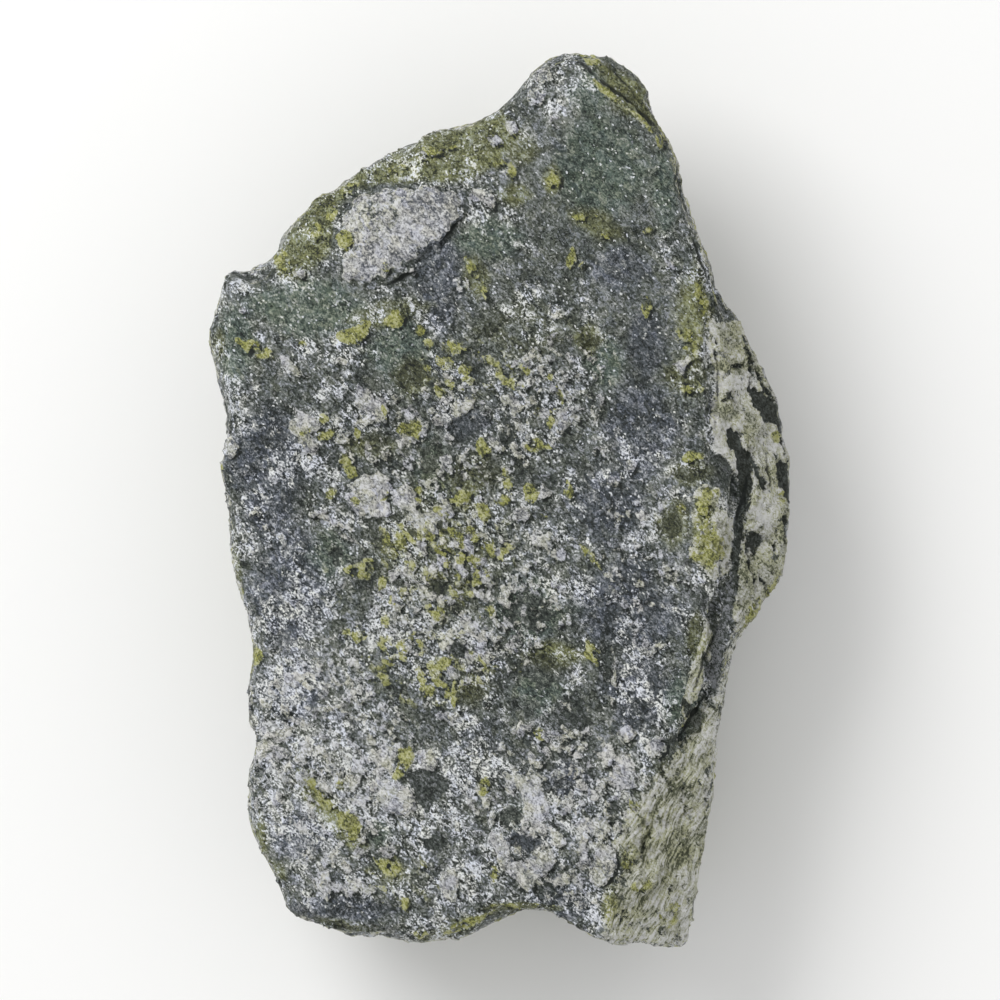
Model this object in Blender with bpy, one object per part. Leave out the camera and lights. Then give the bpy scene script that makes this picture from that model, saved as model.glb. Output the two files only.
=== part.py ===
"""Raw serpentine: one hand-sized slab of broken serpentine rock, lying on its back.

It is a single stone, so it is a single object. The broad weathered face looks up, the narrow tip points
along +Y and the bulging flank along +X. The stone stands on a flat cleavage face at z = 0.
Every length is in millimetres until finish_stone() scales the mesh to metres.
"""

import math

import bmesh
import bpy
import numpy as np
from mathutils import Matrix, Vector, noise
from mathutils.geometry import interpolate_bezier

MM = 0.001

# The whole stone, the height of its broad face's middle, and the height and half depth of its widest line.
LENGTH = 150.0
WIDTH = 97.5
THICKNESS = 46.0
FACE_HEIGHT = 43.5
WIDEST_HEIGHT = 27.0
WIDEST_BAND = 4.5

# The layers that show on its sides, and the most that chipping wears off its widest line.
LEDGE = 7.0
LEDGE_CUT = 2.1
MOST_WEAR = 2.2

# Sizes and depths of the chip scars on its sides, and of the ripples and dimples of its broad face.
LARGE_SCAR, LARGE_SCAR_DEPTH = 11.0, 1.5
SMALL_SCAR, SMALL_SCAR_DEPTH = 5.2, 0.75
RIPPLE, RIPPLE_HEIGHT = 9.0, 0.42
DIMPLE, DIMPLE_DEPTH = 7.5, 0.30
RAGGED, RAGGED_REACH = 3.4, 0.7

# The mesh: how fine it is while it is broken and while it is chipped, and what it is thinned to.
COARSE_VOXEL = 1.9
FINE_VOXEL = 1.35
TRIANGLES = 9600
SHARP_ANGLE = 35.0
SEED_OFFSET = Vector((31.7, -12.4, 8.9))

# The widest line round the stone, seen from above, counter-clockwise from the tip's left shoulder.
OUTLINE = [
    # the tip's left shoulder, down the hollow and along the upper left edge
    (8.7, 74.5), (5.5, 72.2), (3.8, 70.0), (2.5, 68.2), (0.7, 66.6), (-0.2, 65.2),
    (-2.5, 64.0), (-5.4, 62.7), (-9.0, 62.3), (-11.7, 61.5), (-16.5, 59.4), (-21.4, 56.5),
    (-25.9, 53.9), (-28.1, 51.8), (-29.8, 51.5), (-31.3, 50.4), (-34.6, 46.8), (-37.4, 43.4),
    (-37.5, 41.8), (-39.0, 40.3), (-40.7, 39.6), (-42.3, 38.5), (-45.0, 38.9), (-46.2, 38.5),
    # the left edge
    (-47.0, 35.6), (-48.8, 28.1), (-48.5, 24.0), (-47.9, 21.2), (-46.8, 17.4), (-45.8, 12.7),
    (-46.3, 4.0), (-45.7, -1.2), (-45.6, -6.9), (-45.1, -11.7), (-43.3, -16.7), (-42.3, -20.6),
    (-41.3, -23.4), (-41.8, -28.3), (-42.7, -33.6), (-41.2, -38.3), (-40.4, -40.2), (-41.7, -44.0),
    (-42.7, -50.5), (-41.2, -56.7), (-38.6, -61.7), (-36.5, -65.6), (-36.0, -67.8),
    # the lower edge, with its bay
    (-34.8, -69.9), (-31.8, -70.3), (-27.1, -72.0), (-25.1, -73.3), (-22.5, -72.6), (-17.9, -73.2),
    (-15.5, -74.1), (-7.0, -73.6), (-4.6, -72.5), (0.0, -70.3), (2.4, -68.8), (4.8, -68.4),
    (7.8, -68.6), (10.8, -70.4), (14.4, -72.5), (18.5, -74.4), (21.1, -74.6), (23.0, -73.9),
    (26.5, -74.9), (30.3, -75.0), (31.4, -73.8),
    # the right edge: lower flank, bulge, shoulder and tip
    (32.5, -67.9), (33.1, -62.7), (34.8, -52.9), (36.1, -44.4), (36.5, -39.8), (38.0, -31.8),
    (38.7, -27.6), (39.5, -24.8), (40.5, -22.1), (43.0, -19.2), (45.4, -15.4), (47.3, -12.5),
    (47.9, -8.4), (48.8, 0.0), (48.6, 7.4), (47.8, 9.6), (47.0, 15.6), (45.8, 18.6), (44.3, 21.1),
    (43.1, 24.1), (41.2, 27.8), (39.8, 30.8), (37.0, 34.1), (36.1, 36.3), (35.1, 40.3),
    (33.6, 43.7), (32.1, 47.5), (30.4, 53.9), (28.6, 60.2), (27.6, 62.1), (26.0, 63.9),
    (25.4, 66.1), (24.9, 68.0), (23.4, 70.4), (21.5, 72.3), (19.2, 73.7), (17.0, 74.5), (11.4, 75.0),
]

# Broken faces: name, a point on the face, the way it looks in plan, its lean, roughness, reach in plan.
# A face that looks straight up has a lean of 90, an upright one 0, and one that looks down less than 0.
EVERYWHERE = 1000.0
BROKEN_FACES = [
    ("broad_face", (0.0, 0.0, FACE_HEIGHT), -80.0, 88.6, 0.5, EVERYWHERE),
    ("upper_left_bevel", (-17.0, 51.5, 43.8), 122.0, 61.0, 0.7, EVERYWHERE),
    ("spike_wall", (-43.2, 37.5, 42.6), 62.0, 8.0, 0.2, 6.5),
    ("left_high_bevel", (-47.4, 24.0, 41.8), 176.0, 36.0, 0.4, 24.0),
    ("left_low_bevel", (-42.0, -50.0, 41.2), 186.0, 35.0, 0.4, 18.0),
    ("corner_bevel", (-36.6, -65.4, 40.6), 212.0, 36.0, 0.5, 13.0),
    ("lower_bevel", (-8.0, -72.0, 40.6), -84.0, 36.0, 0.5, 17.0),
    ("bay_bevel", (4.0, -68.0, 41.2), -100.0, 36.0, 0.4, 9.0),
    ("tip_back", (19.8, 68.6, 43.2), 51.0, 42.0, 0.4, EVERYWHERE),
    ("tip_strip", (17.6, 66.0, 44.2), 47.0, 72.0, 0.2, EVERYWHERE),
    ("right_bevel", (32.3, 46.5, 42.5), 18.5, 33.0, 0.3, EVERYWHERE),
    ("upper_flank", (35.6, 22.0, 42.8), 3.0, 44.0, 0.8, EVERYWHERE),
    ("bulge_flank", (38.8, -6.0, 41.5), -13.0, 47.0, 0.9, EVERYWHERE),
    ("lower_flank", (26.8, -45.0, 41.6), -18.0, 52.0, 0.7, EVERYWHERE),
    ("under_left_high", (-48.4, 24.0, 27.0), 176.0, -22.0, 0.9, EVERYWHERE),
    ("under_left_low", (-43.0, -48.0, 24.0), 188.0, -31.0, 0.9, EVERYWHERE),
    ("under_upper_left", (-29.0, 52.0, 27.0), 130.0, -38.0, 1.0, EVERYWHERE),
    ("under_hollow", (-1.0, 66.0, 29.0), 134.0, -34.0, 0.8, 16.0),
    ("under_tip", (14.0, 75.2, 31.0), 88.0, -43.0, 0.8, EVERYWHERE),
    ("under_shoulder", (30.0, 56.5, 27.0), 19.0, -32.0, 0.7, EVERYWHERE),
    ("under_bulge_high", (44.6, 22.0, 24.0), 28.0, -36.0, 0.9, EVERYWHERE),
    ("under_bulge", (48.8, 1.0, 21.0), -3.0, -40.0, 1.0, EVERYWHERE),
    ("under_flank", (36.4, -42.0, 17.0), -8.5, -20.0, 0.8, 27.0),
    ("under_right_corner", (32.0, -73.6, 20.0), -45.0, -30.0, 0.7, EVERYWHERE),
    ("under_foot", (24.0, -75.0, 20.0), -90.0, -27.0, 0.8, EVERYWHERE),
    ("under_left_corner", (-35.0, -70.2, 27.0), -125.0, -37.0, 0.9, EVERYWHERE),
]

# Grooves cut from above: name, depth, half width, points along the floor.
GROOVES = [
    ("flank_groove", 2.6, 1.7, [(40.6, 3.8), (40.0, -2.6), (38.9, -7.4), (38.4, -12.0), (36.9, -17.4),
                                (36.2, -23.6), (35.4, -30.0), (33.0, -36.2), (31.2, -40.4)]),
    ("upper_flank_crease", 1.3, 1.1, [(35.1, 31.0), (35.4, 25.6), (36.2, 19.8), (35.6, 13.6), (36.6, 8.4)]),
    ("flank_notch", 1.6, 1.1, [(25.6, -54.0), (23.9, -57.4), (24.0, -62.4)]),
    ("lower_ledge_crack", 1.4, 1.0, [(28.0, -62.2), (27.2, -64.2), (25.4, -65.6), (23.2, -67.4)]),
    ("tip_crack", 0.9, 0.8, [(14.0, 72.6), (17.0, 71.2), (19.4, 69.2), (22.4, 66.2), (25.0, 63.6)]),
    ("face_furrow", 0.8, 1.6, [(-33.0, -46.6), (-29.4, -50.6), (-25.6, -54.6), (-23.4, -57.6)]),
]

# Plates that stand proud of the broad face: name, height, corners in plan.
PLATES = [
    ("pale_crust_plate", 1.0, [(-26.8, 44.6), (-23.0, 51.4), (-15.0, 52.9), (-8.6, 52.6), (-7.0, 49.0),
                               (-7.6, 46.2), (-10.2, 43.0), (-12.9, 41.0), (-15.4, 38.4), (-18.4, 37.6),
                               (-21.6, 36.1), (-26.6, 37.6), (-27.4, 41.6)]),
    ("flank_lump", 1.2, [(20.8, -63.4), (24.8, -61.0), (27.4, -60.4), (27.8, -62.6), (25.6, -65.0),
                         (22.4, -67.0), (20.0, -66.4)]),
    ("bulge_plate", 1.0, [(41.6, 6.8), (46.0, 7.6), (47.4, 0.0), (46.0, -4.4), (42.2, -3.2), (40.6, 1.8)]),
    ("flank_sliver", 0.9, [(35.2, -22.6), (33.6, -27.4), (31.4, -33.0), (31.0, -36.6), (32.8, -34.0),
                           (34.6, -29.0)]),
]

# Hollows and swellings of the broad face: centre, radii, the long axis's angle, rise.
SWELLINGS = [
    ((-30.0, 20.0), (20.0, 14.0), 20.0, 0.9),
    ((15.0, 45.0), (16.0, 24.0), 15.0, 0.7),
    ((4.0, 3.0), (26.0, 18.0), -35.0, -0.9),
    ((-22.0, -14.0), (16.0, 22.0), 0.0, -0.6),
    ((-12.0, -48.0), (15.0, 12.0), -30.0, 0.8),
    ((10.0, -58.0), (14.0, 10.0), 10.0, 0.9),
    ((-13.5, -48.0), (4.4, 3.4), -35.0, -1.0),
    ((26.0, 2.0), (10.0, 22.0), -6.0, 0.8),
    ((-38.0, -40.0), (9.0, 6.0), 0.0, -1.2),
    ((31.0, -4.0), (5.0, 8.5), -12.0, 0.9),
]


def unit_of(plan_angle, lean):
    """The way a broken face looks, from its direction in plan and its lean, both in degrees."""
    plan, up = math.radians(plan_angle), math.radians(lean)
    return np.array((math.cos(plan) * math.cos(up), math.sin(plan) * math.cos(up), math.sin(up)))


def smooth_loop(points, steps=3):
    """A closed curve through the points, with this many pieces between each two."""
    corners = [Vector((x, y, 0.0)) for x, y in points]
    count = len(corners)
    curve = []
    for i, here in enumerate(corners):
        before, after, beyond = corners[i - 1], corners[(i + 1) % count], corners[(i + 2) % count]
        leave = here + (after - before) / 6
        arrive = after - (beyond - here) / 6
        curve += interpolate_bezier(here, leave, arrive, after, steps + 1)[:-1]
    return curve


def field(points, size, octaves=3, shift=0.0):
    """Fractal noise at each point, with lumps of about this size, from about -1 to 1."""
    offset = SEED_OFFSET + Vector((shift, -shift, 2 * shift))
    return np.array([noise.fractal(Vector(p) / size + offset, 0.9, 2.1, octaves) for p in points])


def scars(points, size, shift=0.0):
    """Scooped chip scars of about this size that meet in ridges: 0 in a scar's floor, about 1 on a ridge."""
    offset = SEED_OFFSET + Vector((-shift, shift, shift))
    near = [noise.voronoi(Vector(p) / size + offset)[0][0] for p in points]
    return np.array(near).clip(0.0, 1.0)


def line_distance(points, line):
    """How far each point is in plan from a line of several points."""
    flat = points[:, :2]
    nearest = np.full(len(flat), np.inf)
    for start, end in zip(np.array(line[:-1]), np.array(line[1:])):
        along = end - start
        share = ((flat - start) @ along / (along @ along)).clip(0.0, 1.0)
        nearest = np.minimum(nearest, np.linalg.norm(flat - start - share[:, None] * along, axis=1))
    return nearest


def inside(points, corners):
    """Whether each point lies inside a polygon in plan."""
    x, y = points[:, 0], points[:, 1]
    found = np.zeros(len(points), bool)
    for (ax, ay), (bx, by) in zip(corners, corners[1:] + corners[:1]):
        crosses = (ay > y) != (by > y)
        found ^= crosses & (x < (bx - ax) * (y - ay) / (by - ay + 1e-12) + ax)
    return found


def smoothstep(values, low, high):
    share = ((values - low) / (high - low)).clip(0.0, 1.0)
    return share * share * (3 - 2 * share)


def read_points(mesh):
    points = np.empty(len(mesh.vertices) * 3)
    mesh.vertices.foreach_get("co", points)
    return points.reshape(-1, 3)


def read_normals(mesh):
    normals = np.empty(len(mesh.vertices) * 3)
    mesh.vertices.foreach_get("normal", normals)
    return normals.reshape(-1, 3)


def write_points(mesh, points):
    mesh.vertices.foreach_set("co", points.ravel())
    mesh.update()


def apply_modifiers(stone):
    """Makes the object's mesh what its modifiers give, and removes them."""
    graph = bpy.context.evaluated_depsgraph_get()
    made = bpy.data.meshes.new_from_object(stone.evaluated_get(graph))
    stone.modifiers.clear()
    old = stone.data
    stone.data = made
    bpy.data.meshes.remove(old)


def remesh(stone, voxel):
    modifier = stone.modifiers.new("Even the faces", "REMESH")
    modifier.mode = "VOXEL"
    modifier.voxel_size = voxel
    apply_modifiers(stone)


def rough_block():
    """The outline, drawn up into a block a little taller than the stone."""
    block = bmesh.new()
    loop = [block.verts.new(point) for point in smooth_loop(OUTLINE)]
    floor = block.faces.new(loop)
    drawn = bmesh.ops.extrude_face_region(block, geom=[floor])
    lifted = [part for part in drawn["geom"] if isinstance(part, bmesh.types.BMVert)]
    bmesh.ops.translate(block, verts=lifted, vec=(0.0, 0.0, THICKNESS + 2.0))
    bmesh.ops.recalc_face_normals(block, faces=block.faces)
    mesh = bpy.data.meshes.new("serpentine")
    block.to_mesh(mesh)
    block.free()
    stone = bpy.data.objects.new("serpentine", mesh)
    bpy.context.scene.collection.objects.link(stone)
    return stone


def break_faces(stone):
    """Presses everything beyond each broken face back onto it. Each face keeps a little unevenness."""
    points = read_points(stone.data)
    for index, (_name, place, plan_angle, lean, rough, reach) in enumerate(BROKEN_FACES):
        towards = unit_of(plan_angle, lean)
        uneven = rough * field(points, 17.0, 2, shift=3.1 * index)
        beyond = ((points - np.array(place)) @ towards - uneven).clip(0.0)
        away = np.linalg.norm(points[:, :2] - place[:2], axis=1)
        beyond *= 1.0 - smoothstep(away, 0.75 * reach, reach)
        points -= beyond[:, None] * towards
    write_points(stone.data, points)


def looks_out(normals):
    """1 where the surface stands upright, falling to 0 where it lies level."""
    return smoothstep(np.hypot(normals[:, 0], normals[:, 1]), 0.55, 0.95)


def near_widest(points):
    """1 on the stone's widest line, which wanders a little up and down, falling to 0 above and below it."""
    height = WIDEST_HEIGHT + 4.0 * field(points, 40.0, 1)
    return np.exp(-(((points[:, 2] - height) / WIDEST_BAND) ** 2))


def step_sides(stone):
    """Cuts the sides back in rough steps along the stone's flat layers, and leaves the widest line."""
    points, normals = read_points(stone.data), read_normals(stone.data)
    layer = points[:, 2] / LEDGE + 1.5 * field(points, 34.0, 2, shift=5.0)
    within = layer - np.floor(layer)
    patchy = np.column_stack((points[:, :2], 31.0 * np.floor(layer)))
    depth = smoothstep(field(patchy, 19.0, 2, shift=2.0), -0.25, 0.55)
    cut = LEDGE_CUT * depth * smoothstep(within, 0.0, 0.4) * (1.0 - smoothstep(within, 0.72, 1.0))
    flat = np.column_stack((normals[:, :2], np.zeros(len(points))))
    points -= (cut * looks_out(normals) * (1.0 - near_widest(points)))[:, None] * flat
    write_points(stone.data, points)


def keep_outline(stone):
    """Brings the stone's widest line back out to the outline, where chipping has worn it short."""
    points = read_points(stone.data)
    loop = np.array([point[:2] for point in smooth_loop(OUTLINE)])
    short = np.zeros((len(points), 2))
    for index, point in enumerate(points[:, :2]):
        gaps = loop - point
        short[index] = gaps[np.argmin((gaps**2).sum(axis=1))]
    how_short = np.linalg.norm(short, axis=1)
    worn = near_widest(points) * (how_short < MOST_WEAR)
    points[:, :2] += worn[:, None] * short
    write_points(stone.data, points)


def chip_surface(stone):
    """Chip scars on the sides and the underside, and a finer, flatter unevenness on the broad face."""
    points, normals = read_points(stone.data), read_normals(stone.data)
    level = smoothstep(normals[:, 2], 0.78, 0.97)
    stretched = points * np.array((1.0, 0.6, 1.0))
    chips = LARGE_SCAR_DEPTH * (scars(stretched, LARGE_SCAR) - 0.55)
    chips += SMALL_SCAR_DEPTH * (scars(stretched, SMALL_SCAR, shift=4.0) - 0.5)
    chips *= 1.0 - 0.75 * looks_out(normals) * near_widest(points)
    ripple = RIPPLE_HEIGHT * field(points, RIPPLE, shift=7.0)
    ripple += DIMPLE_DEPTH * (scars(points, DIMPLE, shift=9.0) - 0.5)
    points += ((1.0 - level) * chips + level * ripple)[:, None] * normals
    write_points(stone.data, points)


def shape_face(stone):
    """Swellings, plates and grooves, each raised or pressed in where the stone looks up."""
    points, normals = read_points(stone.data), read_normals(stone.data)
    facing = smoothstep(normals[:, 2], 0.15, 0.55) * smoothstep(points[:, 2], 14.0, 22.0)
    rise = np.zeros(len(points))
    for (x, y), radii, angle, height in SWELLINGS:
        turn = math.radians(angle)
        across = points[:, :2] - (x, y)
        along = across @ (math.cos(turn), math.sin(turn))
        aside = across @ (-math.sin(turn), math.cos(turn))
        reach = np.hypot(along / radii[0], aside / radii[1])
        rise += height * (1.0 - smoothstep(reach, 0.0, 1.0))
    ragged = points.copy()
    ragged[:, 0] += RAGGED_REACH * field(points, RAGGED, 2, shift=11.0)
    ragged[:, 1] += RAGGED_REACH * field(points, RAGGED, 2, shift=17.0)
    for _name, height, corners in PLATES:
        rise += height * inside(ragged, corners)
    for _name, depth, half_width, line in GROOVES:
        rise -= depth * (1.0 - smoothstep(line_distance(ragged, line), 0.0, half_width))
    points += (rise * facing)[:, None] * normals
    write_points(stone.data, points)


def cut_foot(stone):
    """Flattens the underside at z = 0, so that the stone lies steadily."""
    points = read_points(stone.data)
    points[:, 2] = points[:, 2].clip(0.0)
    write_points(stone.data, points)


def thin_triangles(stone):
    """Keeps the triangles that the ridges need, and no more than the limit."""
    modifier = stone.modifiers.new("Thin the triangles", "DECIMATE")
    modifier.ratio = TRIANGLES / (2 * len(stone.data.polygons))
    modifier.use_collapse_triangulate = True
    apply_modifiers(stone)


def stone_material():
    material = bpy.data.materials.new("serpentine_stone")
    material.use_nodes = True
    shader = material.node_tree.nodes["Principled BSDF"]
    shader.inputs["Base Color"].default_value = (0.21, 0.22, 0.20, 1.0)
    shader.inputs["Roughness"].default_value = 0.68
    shader.inputs["Metallic"].default_value = 0.0
    return material


def finish_stone(stone):
    """Fits the stone to its real length, width and thickness, stands it on z = 0 and scales it to metres."""
    points = read_points(stone.data)
    low, high = points.min(axis=0), points.max(axis=0)
    middle = np.array(((low[0] + high[0]) / 2, (low[1] + high[1]) / 2, low[2]))
    points = (points - middle) * np.array((WIDTH, LENGTH, THICKNESS)) / (high - low)
    points[points[:, 2] < 0.02, 2] = 0.0
    write_points(stone.data, points)
    stone.data.transform(Matrix.Scale(MM, 4))
    stone.data.materials.clear()
    stone.data.materials.append(stone_material())
    stone.data.shade_smooth()
    stone.data.set_sharp_from_angle(angle=math.radians(SHARP_ANGLE))


def main():
    for old in list(bpy.data.objects):
        bpy.data.objects.remove(old)
    stone = rough_block()
    remesh(stone, COARSE_VOXEL)
    break_faces(stone)
    remesh(stone, FINE_VOXEL)
    step_sides(stone)
    chip_surface(stone)
    keep_outline(stone)
    shape_face(stone)
    cut_foot(stone)
    thin_triangles(stone)
    finish_stone(stone)


main()
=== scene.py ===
"""Raw serpentine: one rough slab of serpentine rock, lying on its back on a pale studio floor.

The solid stone comes from the frame. This file gives it its skin: crust flakes, pits, fibres and grain as
real relief, and a material that reads the same patterns, so that colour and relief agree.
"""

import math

import bpy
import numpy as np
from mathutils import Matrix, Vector


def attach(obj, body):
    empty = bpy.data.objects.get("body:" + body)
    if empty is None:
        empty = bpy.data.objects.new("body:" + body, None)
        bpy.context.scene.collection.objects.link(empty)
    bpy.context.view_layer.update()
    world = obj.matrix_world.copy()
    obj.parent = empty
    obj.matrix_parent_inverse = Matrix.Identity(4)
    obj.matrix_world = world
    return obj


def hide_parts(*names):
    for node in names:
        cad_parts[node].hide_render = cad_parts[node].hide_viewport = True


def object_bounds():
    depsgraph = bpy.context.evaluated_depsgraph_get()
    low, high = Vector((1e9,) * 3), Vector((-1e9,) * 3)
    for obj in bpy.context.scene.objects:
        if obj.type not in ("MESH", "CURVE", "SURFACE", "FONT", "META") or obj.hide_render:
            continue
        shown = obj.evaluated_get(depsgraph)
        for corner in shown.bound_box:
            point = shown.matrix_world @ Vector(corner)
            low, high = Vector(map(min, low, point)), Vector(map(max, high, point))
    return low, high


bl_info = {
    "name": "Raw Serpentine",
    "version": (1, 0, 0),
    "blender": (4, 5, 0),
    "location": "3D View > Sidebar > Serpentine",
    "description": "Builds the skin of a rough serpentine stone and its studio stage",
    "category": "Object",
}

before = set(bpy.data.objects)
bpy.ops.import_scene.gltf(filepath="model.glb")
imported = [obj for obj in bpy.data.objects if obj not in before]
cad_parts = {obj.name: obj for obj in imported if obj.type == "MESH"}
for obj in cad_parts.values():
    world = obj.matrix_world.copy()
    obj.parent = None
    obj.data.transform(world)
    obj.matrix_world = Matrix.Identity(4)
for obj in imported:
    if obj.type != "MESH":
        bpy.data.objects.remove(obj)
CAD_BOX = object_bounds()
NODE = "serpentine"
PIECE = "serpentine_stone"

MM = 0.001

# The broad face is laid out on a plan, seen from above: a square of 1000 units whose middle is the stone's.
# x runs towards the bulging flank, and y runs down the plan, away from the narrow tip.
PLAN_UNIT = 0.1673 * MM
PLAN_SIDE = 1000.0
PLAN_MIDDLE = 0.5 * PLAN_SIDE

# Zones painted on the stone. The tables below lay them on its broad face, as spots and as fields.
ZONES = (
    "crust", "plate", "yellow", "olive", "slate", "teal", "dark", "cream", "fibre", "frost", "calm", "crack",
)

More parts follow.
